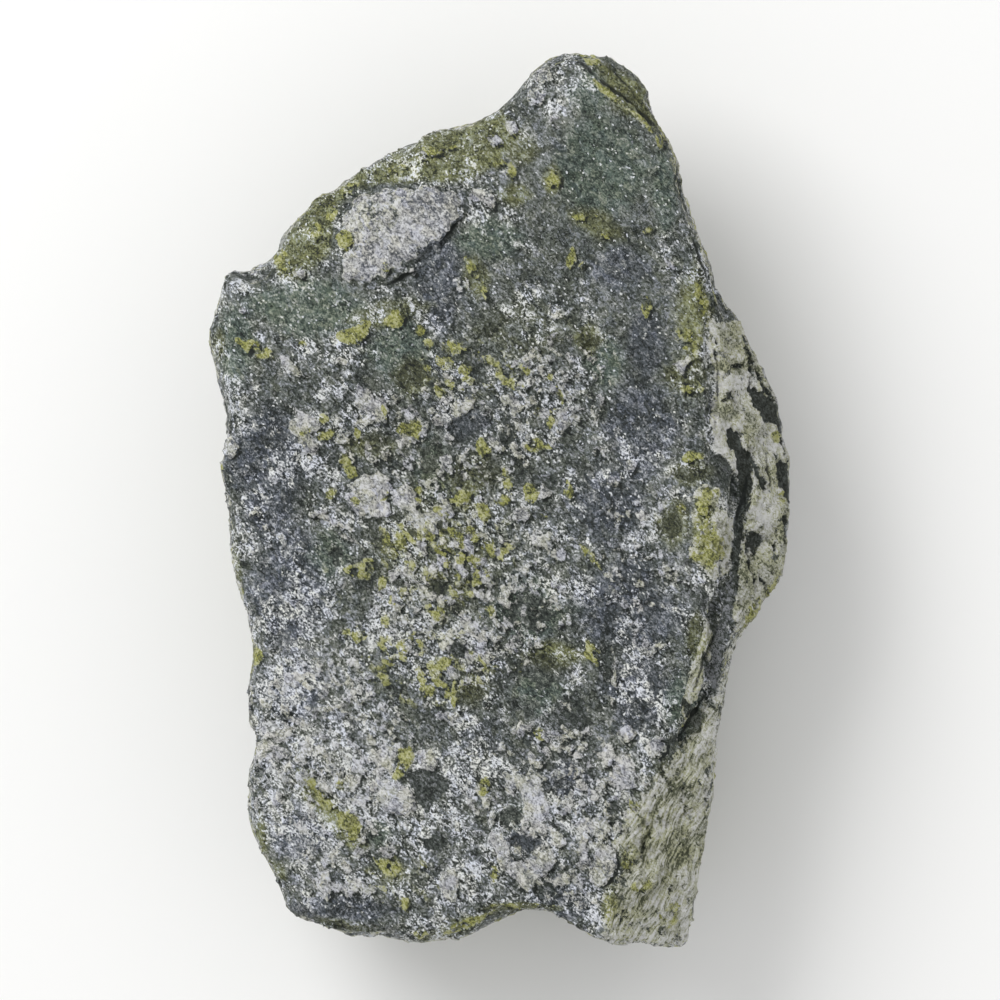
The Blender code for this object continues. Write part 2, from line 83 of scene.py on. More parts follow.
# Spots of each zone: name, place, half length and half width (and a turn in degrees, counter-clockwise on the
# plan), and strength.
SPOTS = {
    "crust": """
    edge_crust 232,448 8,11 0.8; streak_end 290,366 17,5,-40 0.85; ring_crust 341,365 9,8 0.7;
    white_strokes 334,522 22,3,-22 0.9; white_strokes_low 350,540 16,3,-30 0.7;
    white_thorn 318,514 9,4,10 0.7; square_side 422,438 4,6 0.9; middle_cloud 462,406 14,9,20 0.62;
    top_cloud 517,402 24,11 0.7; white_eye 531,354 11,7,30 0.75; lilac_cloud 563,417 14,15 0.75;
    centre_cloud 545,545 28,12,-35 0.68; centre_flake 520,516 14,7,20 0.72; egg_tail 541,493 9,8 0.85;
    pair_cloud 598,453 10,7 0.65; small_ring 631,466 6,5,30 0.9; chip_row 612,482 8,7 0.6;
    right_chips 617,515 12,14 0.55; tip_white 543,75 11,9,60 0.58; tip_cloud 536,97 12,9,60 0.55;
    tip_foot 556,122 12,8 0.45; second_tooth 494,141 9,5,-20 0.9; plate_neighbour 478,196 11,8 0.5;
    plate_star 491,201 7,9 0.8; bevel_line 433,152 12,2,10 0.85; bevel_line_low 428,158 10,2,10 0.75;
    spike_foot 303,275 12,5,-15 0.75; white_nail 243,311 5,3 0.9; pale_patch 461,285 10,8,-30 0.62;
    loose_chip 413,273 4,4 0.9; star 668,264 9,3,-45 0.95; round_crust 627,732 9,11 0.95;
    right_cloud 620,770 24,20,-30 0.72; right_corner 656,746 11,11 0.75; left_bruise 286,684 15,12 0.6;
    corner_field 356,888 18,12 0.72; row 360,798 14,5 0.75; white_knot 447,716 11,8 0.75;
    white_hook 520,730 6,12 0.8; low_white 390,850 11,6 0.75; lilac_chip 492,818 5,8 0.75;
    fan_side 562,746 17,8 0.74; right_twig 652,650 16,4,30 0.65; right_hook 675,578 16,3,-15 0.75;
    tall_twig 612,672 4,30 0.6; low_patch 566,878 18,9 0.72; low_flake 588,902 14,7 0.72;
    notch_crust 266,748 16,13 0.62; edge_field 246,700 8,26 0.6; lower_left_scatter 330,760 110,140 0.27;
    centre_scatter 470,600 110,110 0.32; middle_scatter 440,440 130,70 0.28; upper_scatter 560,380 60,90 0.26;
    low_right_scatter 560,800 100,110 0.31; right_scatter 640,560 60,120 0.2;
    left_scatter 270,500 60,130 0.16; patch_knot 703,533 4,6 0.95
    """,
    "yellow": """
    edge_streak 256,349 24,7,-27 0.85; arm_fleck 323,420 6,5 1; arm_stroke 306,432 6,4,20 0.9;
    thumb_side 358,434 3,6,20 0.9; left_bead 428,345 6,5 0.8; bead 420,331 5,5 1.1;
    right_bead 448,348 7,7 0.85; tall_bead 468,370 11,5,75 0.8; pale_bead 441,391 9,5,-30 0.75;
    tiny_left 303,345 5,4 0.8; kite_rim 384,412 3,8,10 0.8; crust_spot 355,502 8,4,-40 1;
    crust_speck 384,496 5,4,45 1; tail_speck 403,491 5,5 0.8; tail_end 418,490 4,8 0.75;
    stem_foot 503,500 8,6 0.9; low_fan 410,563 8,4,-20 0.85; low_row 404,592 5,11,10 0.75;
    dart_end 430,580 6,3,-60 0.85; thorn 551,419 10,4,75 0.85; thorn_foot 536,446 10,7 0.8;
    bar 511,385 12,5,-10 0.8; bar_knot 523,372 7,5 0.8; spark 545,515 7,4 0.75;
    olive_dash 569,492 11,5,-80 0.75; olive_slash 590,556 20,4,-52 0.75; low_kite 359,635 7,8 1.1;
    low_wing 386,620 5,8 0.8; low_wing_foot 382,640 5,5 0.8; edge_patch 256,655 7,9 1.1;
    moss_low 406,902 5,7 0.85; bottom_moss 420,934 8,6 0.85; grain 341,785 5,6 0.75;
    low_spot 430,688 8,6 0.75; pale_leaf 437,611 14,8 0.72; pale_leaf_low 487,612 8,7,30 0.72;
    small_leaf 445,663 5,8 0.75; bay_rim 454,690 3,16 0.72; bay_rim_top 480,668 8,4,20 0.75;
    dark_leaf 518,668 6,4,20 0.8; tall_leaf 592,652 8,14,20 0.72; bevel_first 316,232 10,7,60 0.62;
    bevel_second 331,214 10,6,40 0.62; bevel_third 345,240 10,12 0.62; bevel_fourth 348,190 12,6,30 0.62;
    bevel_fifth 398,168 12,6,10 0.62; bevel_sixth 434,150 20,6,10 0.62; bevel_foot 282,262 7,12 0.75;
    plate_nick 387,268 6,5 1.1; shoulder 497,165 8,6 0.95; shoulder_pale 512,172 6,9 0.8;
    shoulder_low 552,182 7,11 0.55; strap 606,233 11,6,-30 0.66; strap_end 584,218 13,4 0.55;
    strap_right 648,231 5,4,20 0.85; tall_moss 471,267 12,6,-60 0.85; tall_moss_low 484,291 10,3,-75 0.75;
    drop 570,261 12,5,80 0.85; far_drop 583,268 5,5 0.65; right_drop 646,308 5,10 0.75;
    ridge_moss 700,300 8,20,10 0.72; ridge_moss_mid 683,338 12,12 0.45; ridge_moss_end 692,388 12,10 0.42;
    pale_green 693,457 11,7,10 0.75; eye 680,508 5,5 0.95; tip_first 590,60 12,5,-25 0.8;
    tip_strap 606,92 22,4,-40 0.52; tip_strap_end 642,122 16,3,-44 0.56; bevel_wax 661,140 5,10 0.65;
    bulge_moss 782,499 6,7 0.75; bulge_green 776,436 6,8 0.7; rim_moss 771,592 22,5,62 0.85;
    rim_moss_low 752,612 18,5,62 0.75; foot_moss 625,861 7,9 0.9; foot_wax 642,884 13,6,15 0.7;
    foot_drop 672,914 12,14 0.66; seam_moss 634,806 10,4,-60 0.7; bay_moss 520,905 34,3 0.68;
    bay_moss_left 470,922 26,5,24 0.78; low_stroke 494,873 5,8 0.8; middle_scatter 450,545 80,70 0.24;
    upper_scatter 470,370 70,40 0.2; low_scatter 430,665 80,50 0.24; left_scatter 330,600 40,60 0.12;
    bottom_scatter 400,880 70,40 0.18; ridge_scatter 690,330 26,70 0.16; upper_row 499,372 5,9 0.85;
    upper_row_left 470,352 4,8,20 0.75; upper_row_right 549,378 5,4,30 0.8; far_thorn 560,398 3,10,20 0.8;
    ring_top 537,412 4,6,-30 0.8; ring_foot 545,446 9,3,-25 0.85; row_bead 462,345 3,4 0.85;
    shell_bead 417,500 4,5 0.8; low_bead 478,560 6,4,20 0.85; low_thorn 392,600 3,8,20 0.8;
    low_left_bead 346,632 5,4 0.9; pale_corner 420,640 9,6 0.62
    """,
    "olive": """
    shoulder_olive 521,150 20,18 0.9; shoulder_dark 515,196 20,13 1; drop_olive 552,182 12,16 1;
    moss_olive 476,278 16,26 0.8; square_olive 588,340 17,18 1; green_pool 412,378 24,22 0.9;
    strap_olive 595,225 34,16,-25 0.9; tip_end 630,96 46,20,-46 1.1; ridge_olive 694,310 20,50 1.1;
    ridge_olive_low 688,375 26,30 0.8; dark_olive 553,655 36,16 1; dark_olive_left 472,688 20,18 1;
    flank_olive 692,472 26,16 0.9; right_olive 672,524 22,26 0.9; patch_olive 705,532 14,42,6 1.35;
    right_olive_low 697,640 14,30 0.9; low_edge 260,838 9,30 1.2; low_edge_foot 276,870 14,10,-50 1;
    bottom_edge 460,926 44,9,20 1; bay_edge 520,908 44,7 1; moss_bed 390,870 26,18 0.7;
    corner_edge 345,925 40,8,-10 0.6; brown_crust_foot 372,446 30,16 0.8; brown_middle 475,475 34,24 0.8;
    centre_olive 440,540 80,90 0.5; foot_olive 610,905 10,26 1.1; fibre_olive 664,835 44,90 0.68;
    fibre_olive_top 698,745 20,50,-24 0.66; foot_olive_top 628,850 12,24 0.8; upper_olive 520,330 60,36 0.5;
    edge_olive 218,345 8,20 0.9; left_edge_olive 235,575 8,40 0.9; under_kite 385,315 50,16,10 0.8
    """,
    "slate": """
    under_strap 620,270 38,26 0.9; right_slate 645,345 20,46 0.9; right_slate_low 640,430 40,60 0.9;
    left_slate 268,470 42,76 1; left_slate_low 290,590 46,70 1; middle_slate 462,422 28,24 0.9;
    upper_slate 440,280 28,56 1; centre_slate 605,500 50,60 0.7; low_slate 630,610 60,60 0.9;
    low_slate_foot 640,690 40,44 0.9; foot_slate 528,840 28,14 1; foot_slate_right 568,782 24,24 1;
    left_foot_slate 290,690 40,40 0.8; bottom_slate 300,836 34,24 0.9; top_slate 565,160 24,24 0.6;
    lower_middle_slate 470,760 60,40 0.5; bay_slate 560,905 50,20 0.8; corner_slate 340,908 60,16 0.9
    """,
    "teal": """
    spike_teal 310,308 70,30,-5 1.1; edge_teal 235,345 24,44 0.9; plate_teal 490,240 40,24 0.9;
    top_teal 600,170 54,60 0.9; tip_teal 590,95 26,26 0.8; right_teal 605,362 20,30 0.9;
    centre_teal 530,610 40,36 0.9; olive_pool_teal 540,690 30,24 0.9; low_teal 682,705 22,34 0.9;
    upper_teal 400,350 36,36 0.9; middle_teal 435,470 20,36 0.9; left_teal 330,555 26,26 0.8;
    pool_teal 515,815 20,14 0.9; ridge_teal 665,190 16,50 0.8; low_left_teal 380,832 14,14 0.8
    """,
    # Windows are dark rock; spike_wall, the plate_edge spots, tip_facet and spots named shade or shadow are
    # painted shade.
    "dark": """
    brown_bay 378,442 25,13,8 0.85; shell_gap 440,526 3,6 1.2; crust_shadow 374,521 13,4 1.1;
    crust_olive 375,533 15,12 0.85; tail_shadow 399,517 9,6 0.9; fan_shadow 360,586 19,8 0.8;
    leaf_bay 492,472 13,22 0.82; middle_bay 433,458 13,25,-8 0.78; stem_bay 520,474 10,14 0.78;
    low_bay 457,650 10,10 0.9; black_dash 565,743 6,3,10 1.2; black_dash_low 567,757 6,4 1.1;
    tongue_bay 612,808 10,8 0.85; wing_bay 526,842 22,9 0.85; teal_bay 510,817 16,12 0.75;
    low_window 437,843 14,13 0.88; left_window 374,830 11,10 0.76; foot_bay 546,892 14,9,-35 0.85;
    corner_bay 342,908 12,7 0.7; corner_bay_right 382,907 14,6 0.7; spike_wall 244,274 19,5,-18 1.2;
    spike_wall_end 268,272 8,8 0.9; plate_edge 404,279 24,3,25 0.9; plate_edge_right 451,236 18,3,50 1;
    plate_edge_middle 425,256 12,3,45 1; plate_hole 441,190 7,3,-15 1.1; green_window 410,374 20,21 0.8;
    green_window_left 364,377 10,11 0.78; black_nook 634,247 7,4 0.9; right_nook 668,240 7,12 0.62;
    ridge_bay 700,372 12,12 0.62; flank_green 690,474 22,9 0.85; right_bay 671,524 14,19 0.85;
    right_bay_low 700,592 20,8 0.66; groove_foot 717,640 5,30,14 1; groove_shadow 708,604 6,20,10 0.8;
    rim_shade 786,530 3,26 0.8; top_rim 724,305 5,12,35 0.9; sliver_shade 709,672 4,20,14 0.9;
    ledge_shade 692,716 7,18,25 1.1; tip_line 634,103 24,2,-40 1.1; tip_facet 640,84 14,8,-50 0.62;
    slate_window 464,429 16,19 0.95; teal_window 508,432 8,22 0.85; under_leaf 462,476 9,13 0.74;
    right_window 553,484 12,9 0.78; left_window_low 337,556 9,13 0.78; low_fan_shade 398,583 9,6 0.8;
    teal_low_window 438,587 15,11 0.84; centre_pool 528,612 30,26 0.66; great_pool 538,672 33,17,6 0.92;
    lower_pool 574,713 27,22 0.72; slate_column 609,640 8,50,-3 0.72; slate_column_right 655,678 9,24,12 0.78;
    slate_patch_right 652,610 12,16 0.68; slate_low 526,705 22,11 0.64; moss_window 492,320 17,24 0.74;
    moss_window_low 476,358 18,17 0.68; ray_window 560,345 14,10 0.78; square_window 588,341 13,12 0.8;
    right_column 643,356 16,34 0.72; arm_window 300,492 12,28 0.68; arm_window_left 274,438 12,14 0.68;
    arm_shade 323,450 5,7 0.9; thumb_window 336,462 9,16 0.7; kite_shade 350,397 6,9 0.72;
    bay_window 472,694 17,11 0.95; hook_window 354,728 7,13 0.7; bulge_streak 752,572 3,20,12 0.8;
    bulge_streak_right 766,588 3,14,30 0.75; flank_mark 716,352 3,14 0.7;
    flank_mark_right 738,366 10,3,5 0.72; plate_side 466,207 3,11 0.9; fibre_eye 683,788 5,3,20 0.8;
    fibre_slit 643,848 2,14,-12 0.75
    """,
    "calm": """
    top 600,170 100,100 1; tip 600,90 60,40 0.9; spike 300,308 90,36,-5 0.9; right_band 640,320 60,90 1;
    left_edge 235,400 24,60 0.5; green_pool 405,375 34,28 0.9; flank_side 680,500 40,80 0.6;
    olive_pool 545,685 44,36 0.6; lower_left_smooth 302,745 90,130 1; mist 478,258 36,46 0.7
    """,
    "cream": """
    tip_rim 604,90 26,2,-42 0.85; tip_rim_end 640,120 20,2,-42 0.8; ridge_edge 682,180 46,2,-72 0.75;
    ridge_edge_low 706,260 34,2,-68 0.75
    """,
    # Cracks, grooves and seams are sunk and painted near black: dirt and painted shade, and a painted shadow
    # under the plate's edge.
    "crack": """
    tip_crack_start 586,68 16,1.9,-36 1.02; tip_crack 618,93 24,1.9,-38 1.27;
    tip_crack_end 648,119 18,1.9,-42 1.27; tip_strand 622,78 22,1.5,-46 0.77;
    tip_strand_low 636,96 20,1.5,-52 0.77; rim_line 680,190 34,1.5,-74 0.85;
    rim_line_low 700,258 34,1.5,-70 0.94; plate_crack 452,232 22,1.9,48 1.19;
    plate_crack_low 404,278 18,1.9,26 1.19; groove 742,500 30,2.2,78 1.1; groove_foot 704,660 40,2.2,70 0.94;
    flank_seam 716,400 40,1.5,88 0.77; bulge_seam 768,470 30,1.5,-80 0.77; ledge_seam 690,718 30,1.9,60 1.02
    """,
    # Less frost dims the pale bruise; bulge_shadow, tip_facet_dark and spots named shade dim it as painted
    # shade, and plate_sheen is a painted sheen.
    "frost": """
    lower_left 300,745 100,130 0.3; bottom 420,830 150,90 0.26; left_bruise 287,686 30,24 0.25;
    right_bottom 590,800 70,80 0.12; centre 530,545 50,40 0.18; tip 545,90 26,36 0.22;
    middle_low 420,640 70,50 0.2; upper_right 550,390 60,50 0.14; lower_pale 535,315 30,26 0.16;
    left_band 280,560 44,130 0.15; upper_dark 440,285 50,60 -0.12; teal_dark 310,310 80,30 -0.22;
    green_dark 405,378 34,30 -0.28; top_dark 610,190 74,90 -0.68; olive_dark 545,680 50,40 -0.25;
    right_dark 640,330 32,84 -0.78; right_low_dark 660,600 44,90 0.02; middle_dark 470,455 60,30 -0.1;
    upper_half_dark 590,230 130,150 -0.14; flank_chalk_top 732,382 15,8 0.3; flank_chalk 735,428 12,9 0.4;
    flank_chalk_left 719,441 8,17 0.4; bulge_chalk 766,508 18,14 0.36; rim_chalk 772,443 12,12 0.28;
    strip_chalk 736,468 5,14 0.4; foot_chalk 690,915 12,26 0.16; flank_ridge_chalk 700,745 6,44,-24 0.1;
    flank_grey 727,411 15,11 -0.75; flank_grey_right 750,432 9,22 -0.5; flank_grey_top 731,325 20,26 -0.35;
    flank_grey_band 733,367 20,8 -0.95; flank_strip_grey 752,360 8,24,20 -0.5; bulge_grey 765,575 24,32 -0.5;
    bulge_grey_side 784,530 9,34 -0.6; bulge_shadow 778,475 18,12 -0.6;
    groove_side_grey 742,590 12,40,8 -0.45; low_flank_shade 668,760 9,40,-38 -0.35;
    foot_shade 622,880 10,44,-8 -0.5; foot_middle_shade 664,880 12,30,40 -0.3;
    right_half_dark 640,470 60,170 0.04; lower_left_pale 296,738 60,90 0.06;
    flank_grey_head 722,350 14,30 -0.15; plate_grey 372,208 22,14 -0.5; plate_sheen 396,240 18,14,-20 0.35;
    fibre_crack 646,842 5,26,-12 -0.95; fibre_pool 677,848 13,24,-8 -1; fibre_grey 684,788 17,9,20 -0.75;
    fibre_end 702,836 6,34,-6 -0.75; foot_crack 656,886 20,4,42 -1; ledge_foot 664,748 16,7,42 -0.9;
    foot_wax_pale 648,886 12,9,20 0.25; ridge_foot_dark 692,412 18,16 -0.5; mist_dark 498,276 30,16 -0.35;
    bevel_dark 326,248 14,13 -0.4; fibre_band 662,800 26,5,48 -0.55; fibre_band_low 640,900 5,26,-20 -0.6;
    foot_low 676,930 16,5,10 -0.4; fibre_light 706,790 5,34,-8 0.2; fibre_light_left 660,856 9,22,-8 0.18;
    fibre_light_top 668,770 20,7,46 0.2; diagonal_dark 322,798 38,8,-54 -0.8; low_grey 405,858 22,26 -0.28;
    bay_dark 455,905 44,20 -0.38; tip_facet_dark 622,82 40,14,-46 -0.6; corner_dark 350,915 60,16,-8 -0.22;
    arm_dark 306,472 16,18 -0.38; left_middle_dark 318,376 24,14 -0.3; right_middle_dark 630,428 26,18 -0.38;
    right_cut 614,520 30,40 -0.22; right_low_cut 660,560 24,40 -0.16
    """,
}

# Fields of each zone: name, strength, softness of the edge, and its corners in order on the plan.
FIELDS = {
    "plate": """
    crust_plate 0.66 3 354,199 363,193 377,193 393,188 410,188 427,186 440,187 448,191 455,193 461,203 457,209
        460,217 452,222 450,231 442,234 438,242 429,240 425,249 416,249 418,257 411,262 404,261 401,270
        391,270 386,278 377,275 371,284 358,280 350,285 342,277 344,267 342,256 351,249 354,237 343,228
        342,217 349,206;
    plate_pale_side 1 4 342,264 352,256 368,243 388,236 398,218 408,196 430,187 440,187 448,191 455,193
        461,203 457,209 460,217 452,222 450,231 442,234 438,242 429,240 425,249 416,249 418,257 411,262
        404,261 401,270 391,270 386,278 377,275 371,284 358,280 350,285 342,277
    """,
    "crust": """
    left_arm 1 2 295,406 308,413 316,418 322,426 319,432 308,434 316,440 319,446 314,454 304,455 299,446
        300,438 292,431 290,422 297,418;
    kite_crust 1 2 357,384 362,383 371,390 376,399 386,402 388,412 386,423 377,421 371,424 362,423 354,428
        352,424 358,420 367,415 364,411 356,409 354,401 359,396;
    big_crust 1.15 2 379,470 384,477 392,485 391,492 387,498 391,505 389,516 381,515 377,518 369,513 361,516
        355,513 353,508 347,500 346,494 352,491 349,485 357,479 366,474 371,477;
    big_crust_tail 0.95 2 390,487 399,489 405,485 412,487 416,494 420,503 415,506 417,510 408,511 401,507
        393,506 391,498;
    shell_crust 1.1 2 408,512 416,510 421,514 429,512 433,517 439,520 441,529 438,536 430,534 424,537 416,532
        411,524;
    shell_point 0.95 2 441,491 447,500 452,505 455,516 447,518 444,523 436,520 431,511 436,501;
    leaf_tail 0.95 2 486,436 496,438 506,450 499,454 491,447;
    low_fan 1.05 2 400,568 406,564 414,569 413,576 403,577;
    bright_tooth 1.3 2 505,124 514,122 518,132 511,136 506,132;
    bird 1.3 2 671,364 680,362 687,356 691,359 685,367 682,376 677,368;
    pearl 1.3 2 419,750 430,749 437,760 434,770 426,772 418,760;
    fan_crust 0.9 3 373,750 388,743 396,748 396,760 392,772 380,770 371,760;
    apron 0.8 4 372,780 388,777 402,778 414,794 416,806 404,816 388,810 379,800;
    cloth 1 3 503,771 516,773 528,775 539,783 547,796 549,813 542,821 533,827 530,815 523,800 518,788 508,784;
    long_wing 1.15 3 488,838 500,833 507,846 514,861 528,863 538,854 552,849 557,860 546,873 535,881 528,891
        520,884 509,872 497,857;
    wing_root 0.9 3 548,829 564,831 567,844 555,847;
    low_cloud 1.1 3 571,827 581,819 587,813 596,820 607,817 609,830 597,837 586,831;
    white_tongue 1.2 3 596,846 614,845 617,860 610,877 598,887 589,879 594,861;
    pebble 0.95 3 442,871 454,868 459,882 454,900 443,897 439,884;
    corner_white 0.95 3 309,876 326,871 333,882 329,901 316,887
    """,
    "yellow": """
    kite 1.05 2 338,334 346,330 353,328 366,321 371,322 369,330 366,339 360,344 352,344 343,342 338,338;
    under_plate 0.9 2 380,326 388,318 394,310 403,311 407,318 400,327 389,328;
    thumb 1 2 341,453 348,454 352,464 357,475 350,480 344,469 339,461;
    twig 0.85 2 326,488 336,486 338,492 331,501 325,497;
    arm_end 0.95 2 318,433 337,429 329,440 319,440;
    square 1.15 2 402,422 411,423 419,420 423,428 420,433 416,443 408,439 400,434 397,430;
    leaf 1.25 2 482,436 488,445 493,450 486,454 483,459 478,450 478,441;
    stem 1 2 503,467 512,478 512,494 505,487;
    foot 0.9 2 453,497 462,488 473,494 467,502 456,504;
    egg 1.3 2 523,486 532,482 538,494 534,502 526,500;
    low_egg 1 2 475,503 485,503 492,516 487,525 480,518;
    shield 1 2 463,528 474,525 482,537 476,545 468,539;
    shield_foot 0.95 2 465,556 479,553 478,562 467,563;
    shield_wing 0.9 2 481,542 498,547 491,555;
    small_pair 0.95 2 380,528 389,532 389,543 380,540;
    pale_fan 0.66 2 343,571 355,562 373,558 376,567 370,580 360,580 353,574;
    fan_dot 0.95 2 381,575 389,577 387,588 379,592;
    diagonal_end 1.1 3 338,812 348,810 360,815 363,824 358,836 350,838 342,829;
    wax 0.85 3 398,747 410,747 415,756 408,768 400,779 393,777 398,766;
    seed 0.95 2 477,780 488,777 489,792 480,795;
    moss 0.75 3 375,856 390,860 401,866 396,875 380,872;
    bay_dash 0.8 2 527,725 545,729 546,747 538,737;
    patch_top 0.84 3 698,491 706,487 712,491 717,489 718,498 713,505 714,513 709,520 704,527 697,522 698,510
        695,502;
    patch_core 1 3 701,530 711,533 716,531 722,536 724,545 722,557 715,563 709,570 699,566 690,560 691,549
        696,543 698,536;
    diagonal_streak 0.66 3 304,776 311,776 322,792 334,806 328,809 314,796
    """,
    "olive": """
    diagonal 1.5 5 298,768 310,770 322,790 340,808 352,826 368,846 352,848 326,824 308,802 300,786;
    upper_left_bevel 1.25 6 272,262 300,205 345,172 400,140 450,126 500,108 522,132 506,160 470,182 400,182
        352,188 334,215 330,255 300,280 280,280
    """,
    # Windows are dark rock; flank_outer_rim, flank_rim and the groove fields are painted shade on surfaces in
    # shadow.
    "dark": """
    black_pool 1.2 3 407,774 420,768 436,771 451,781 447,791 436,797 427,813 418,802 413,788;
    flank_brown 0.66 5 722,393 729,391 737,390 738,396 736,404 728,403 722,401;
    flank_window 1.2 2 748,391 754,387 758,392 764,391 767,396 774,397 778,400 781,409 783,419 778,425 769,421
        766,425 760,416 757,408 752,406 753,399;
    flank_teeth 1.1 2 728,429 733,427 734,432 739,428 740,440 735,441 732,450 728,441;
    flank_line 0.95 2 742,334 746,335 750,350 752,366 753,378 750,391 747,389 749,374 747,356 744,345;
    flank_apron 1.05 3 711,455 717,452 728,457 733,466 736,476 737,490 733,498 728,489 720,487 711,484 704,478
        705,464;
    flank_outer_rim 0.8 3 752,360 762,376 772,392 780,410 786,428 790,446 793,458 786,457 781,441 776,426
        774,412 768,398 760,386 753,374;
    flank_rim 1.2 2 776,464 782,460 786,463 790,461 794,475 793,492 789,502 784,497 783,488 777,486 779,477;
    bulge_hollow 0.85 4 748,530 755,531 764,535 766,541 759,548 758,555 750,556 744,552 743,545 746,537;
    flank_top 1.1 2 717,295 724,299 731,309 736,316 729,311 723,308 719,312 715,306;
    groove 1.1 3 741,452 749,456 752,468 753,484 750,500 747,514 744,530 742,548 740,566 738,584 735,602
        731,620 726,638 720,656 709,652 714,632 719,616 723,600 727,584 730,566 732,548 734,530 736,512
        738,496 739,480 738,466;
    groove_end 1.1 3 712,648 722,640 726,650 722,668 717,686 711,690 708,676 710,662;
    groove_head 1.15 2 727,430 733,427 735,433 739,428 741,436 743,447 747,455 750,466 749,476 743,478 740,468
        737,458 735,449 731,446;
    flank_chip 1.1 2 760,478 764,476 768,483 769,490 764,492 760,486;
    flank_seam 0.95 2 748,446 752,450 755,458 758,468 763,478 760,482 756,476 752,466 749,456;
    bulge_fleck 0.8 2 771,545 776,541 778,548 773,556 769,552
    """,
    "cream": """
    patch_bed 0.62 3 696,486 719,484 722,494 716,504 724,509 733,520 733,533 732,548 735,557 728,571 714,580
        702,570 690,562 688,549 694,534 691,510;
    patch_rim 1.15 2 716,504 720,511 727,509 729,516 734,521 731,529 734,537 731,545 735,552 733,560 728,563
        729,571 722,576 719,568 724,556 725,543 718,535 713,528 712,517;
    upper_flank 0.92 4 708,312 716,322 742,320 762,352 780,385 797,440 797,500 790,562 752,622 738,640 730,600
        736,545 745,500 735,474 716,456 711,418 716,390 713,370 708,335;
    pale_sliver 1.2 2 708,618 715,622 712,640 709,655 707,668 702,684 697,698 690,708 686,720 683,716 683,700
        685,686 689,672 695,658 700,644 704,630;
    lower_flank 0.84 12 738,640 728,690 720,740 710,820 698,950 600,950 606,899 617,882 627,868 617,841
        624,823 636,801 650,787 664,767 684,742 700,720 714,690 722,660
    """,
    "fibre": """
    fibrous_flank 1 14 738,560 745,640 728,690 720,740 710,820 698,950 606,950 604,899 615,882 615,841 622,823
        636,801 650,787 664,767 680,740 684,700 700,640 722,590;
    tip_facet 0.9 5 600,70 625,56 650,90 664,130 690,215 716,290 704,268 680,196 668,150 634,106 612,88
    """,
}

# How much of each zone the sides and the underside have, how far it drifts up from there, and over what
# length in millimetres.
WILD_ZONES = {
    "crust": (0.10, 0.75, 9.0), "plate": (0.0, 0.0, 10.0), "yellow": (0.0, 0.50, 8.0),
    "olive": (0.10, 1.00, 15.0), "slate": (0.10, 0.95, 17.0), "teal": (0.10, 0.80, 16.0),
    "dark": (0.0, 0.80, 9.0), "cream": (0.0, 0.95, 12.0), "fibre": (0.25, 0.70, 14.0),
    "frost": (0.15, 0.60, 13.0), "calm": (0.20, 0.60, 14.0), "crack": (0.0, 0.0, 10.0),
}

# How far the noise of one of these zones is from the next one's, in metres, so that they don't match.
ZONE_STEP = (0.031, 0.017, 0.053)

# Frost lies over the whole face this much, and its spots add to it or take from it.
BASE_FROST = 0.34

# A spot's outline: 1 is a diamond, 2 an ellipse. Its edge goes from whole to nothing between these shares of
# its half sizes.
POINTED = 1.25
SPOT_EDGE = (0.5, 1.5)

# The plan's zones hold where the skin faces up by this much (the normal's z) and lies this high.
SEEN_SLOPE = (0.0, 0.35)
SEEN_HEIGHT = (14.0 * MM, 20.0 * MM)

# How each kind of patch frays: which cloud pushes its edge and how far, then the same of its splinters.
FRAYS = {
    "crust": (0, 0.75, 0, 0.42), "yellow": (2, 0.80, 1, 0.64), "plate": (1, 0.55, 0, 0.16),
    "dark": (1, 0.95, 2, 0.28), "cream": (0, 1.15, 2, 0.34),
}

# The levels between which a patch's crisp edge lies.
PATCH_EDGE = (0.46, 0.54)

# The kinds of patch that are proud enough to shade the skin beside them, a shadow painted into its colour.
PROUD = ("crust", "yellow")

# Which way patterns are drawn out on the plan, in degrees counter-clockwise, and how many times.
FIBRE_RUN = (62.0, 9.0)
STROKE_RUN = (-50.0, 3.0)
SHARD_RUN = (-55.0, 1.7)
GRAIN_RUN = (-50.0, 1.6)
FACET_RUN = (-35.0, 1.7)

# From a shadowed spot to what shades it: the key light stands beyond the upper left corner of the plan.
UP_LIGHT = (-0.48 * MM, 0.48 * MM, 0.0)

# What the colour of the rock and its crust is multiplied by, from one shard to the next.
WARM = (1.03, 1.02, 0.93)
COOL = (0.97, 0.99, 1.06)

# The relief grows from nothing to whole between these heights, so that the resting face stays flat.
FOOT = (0.2 * MM, 2.5 * MM)

# The skin keeps more triangles where it is seen from above: it is this much less coarse there, in so many
# steps. The number of its triangles stays between these limits.
SPARED = 0.75
COARSE_STEPS = 10
LEAST_TRIANGLES, MOST_TRIANGLES = 20000, 198000

# The data type of an attribute that holds a colour.
COLOUR = "FLOAT_COLOR"

# The stage: the height of the stone's widest line, and the camera, floor and key light.
WIDEST_LINE = 27.0 * MM
SENSOR = 36.0
CLIP_END = 50.0
FLOOR_SIZE = 8.0
KEY_PLACE = (-0.72, 0.68, 1.05)
KEY_TARGET = (0.0, 0.0, 0.03)
KEY_SIZE = 0.8
WHITE = (1.0, 1.0, 1.0)


def shade(red, green, blue):
    """A colour given as it looks, from 0 to 255 a channel, as the linear colour that a shader takes."""
    channels = [value / 255.0 for value in (red, green, blue)]
    return tuple(c / 12.92 if c <= 0.04045 else ((c + 0.055) / 1.055) ** 2.4 for c in channels)


def colour_property(name, what, *looks):
    """A colour that the user can change."""
    return bpy.props.FloatVectorProperty(
        name=name, description=what, subtype="COLOR", size=3, min=0.0, max=1.0, default=shade(*looks))


def size_property(name, what, default, low=0.0, high=60.0):
    """A size in millimetres that the user can change."""
    what += ", in mm"
    return bpy.props.FloatProperty(name=name, description=what, default=default, min=low, max=high)


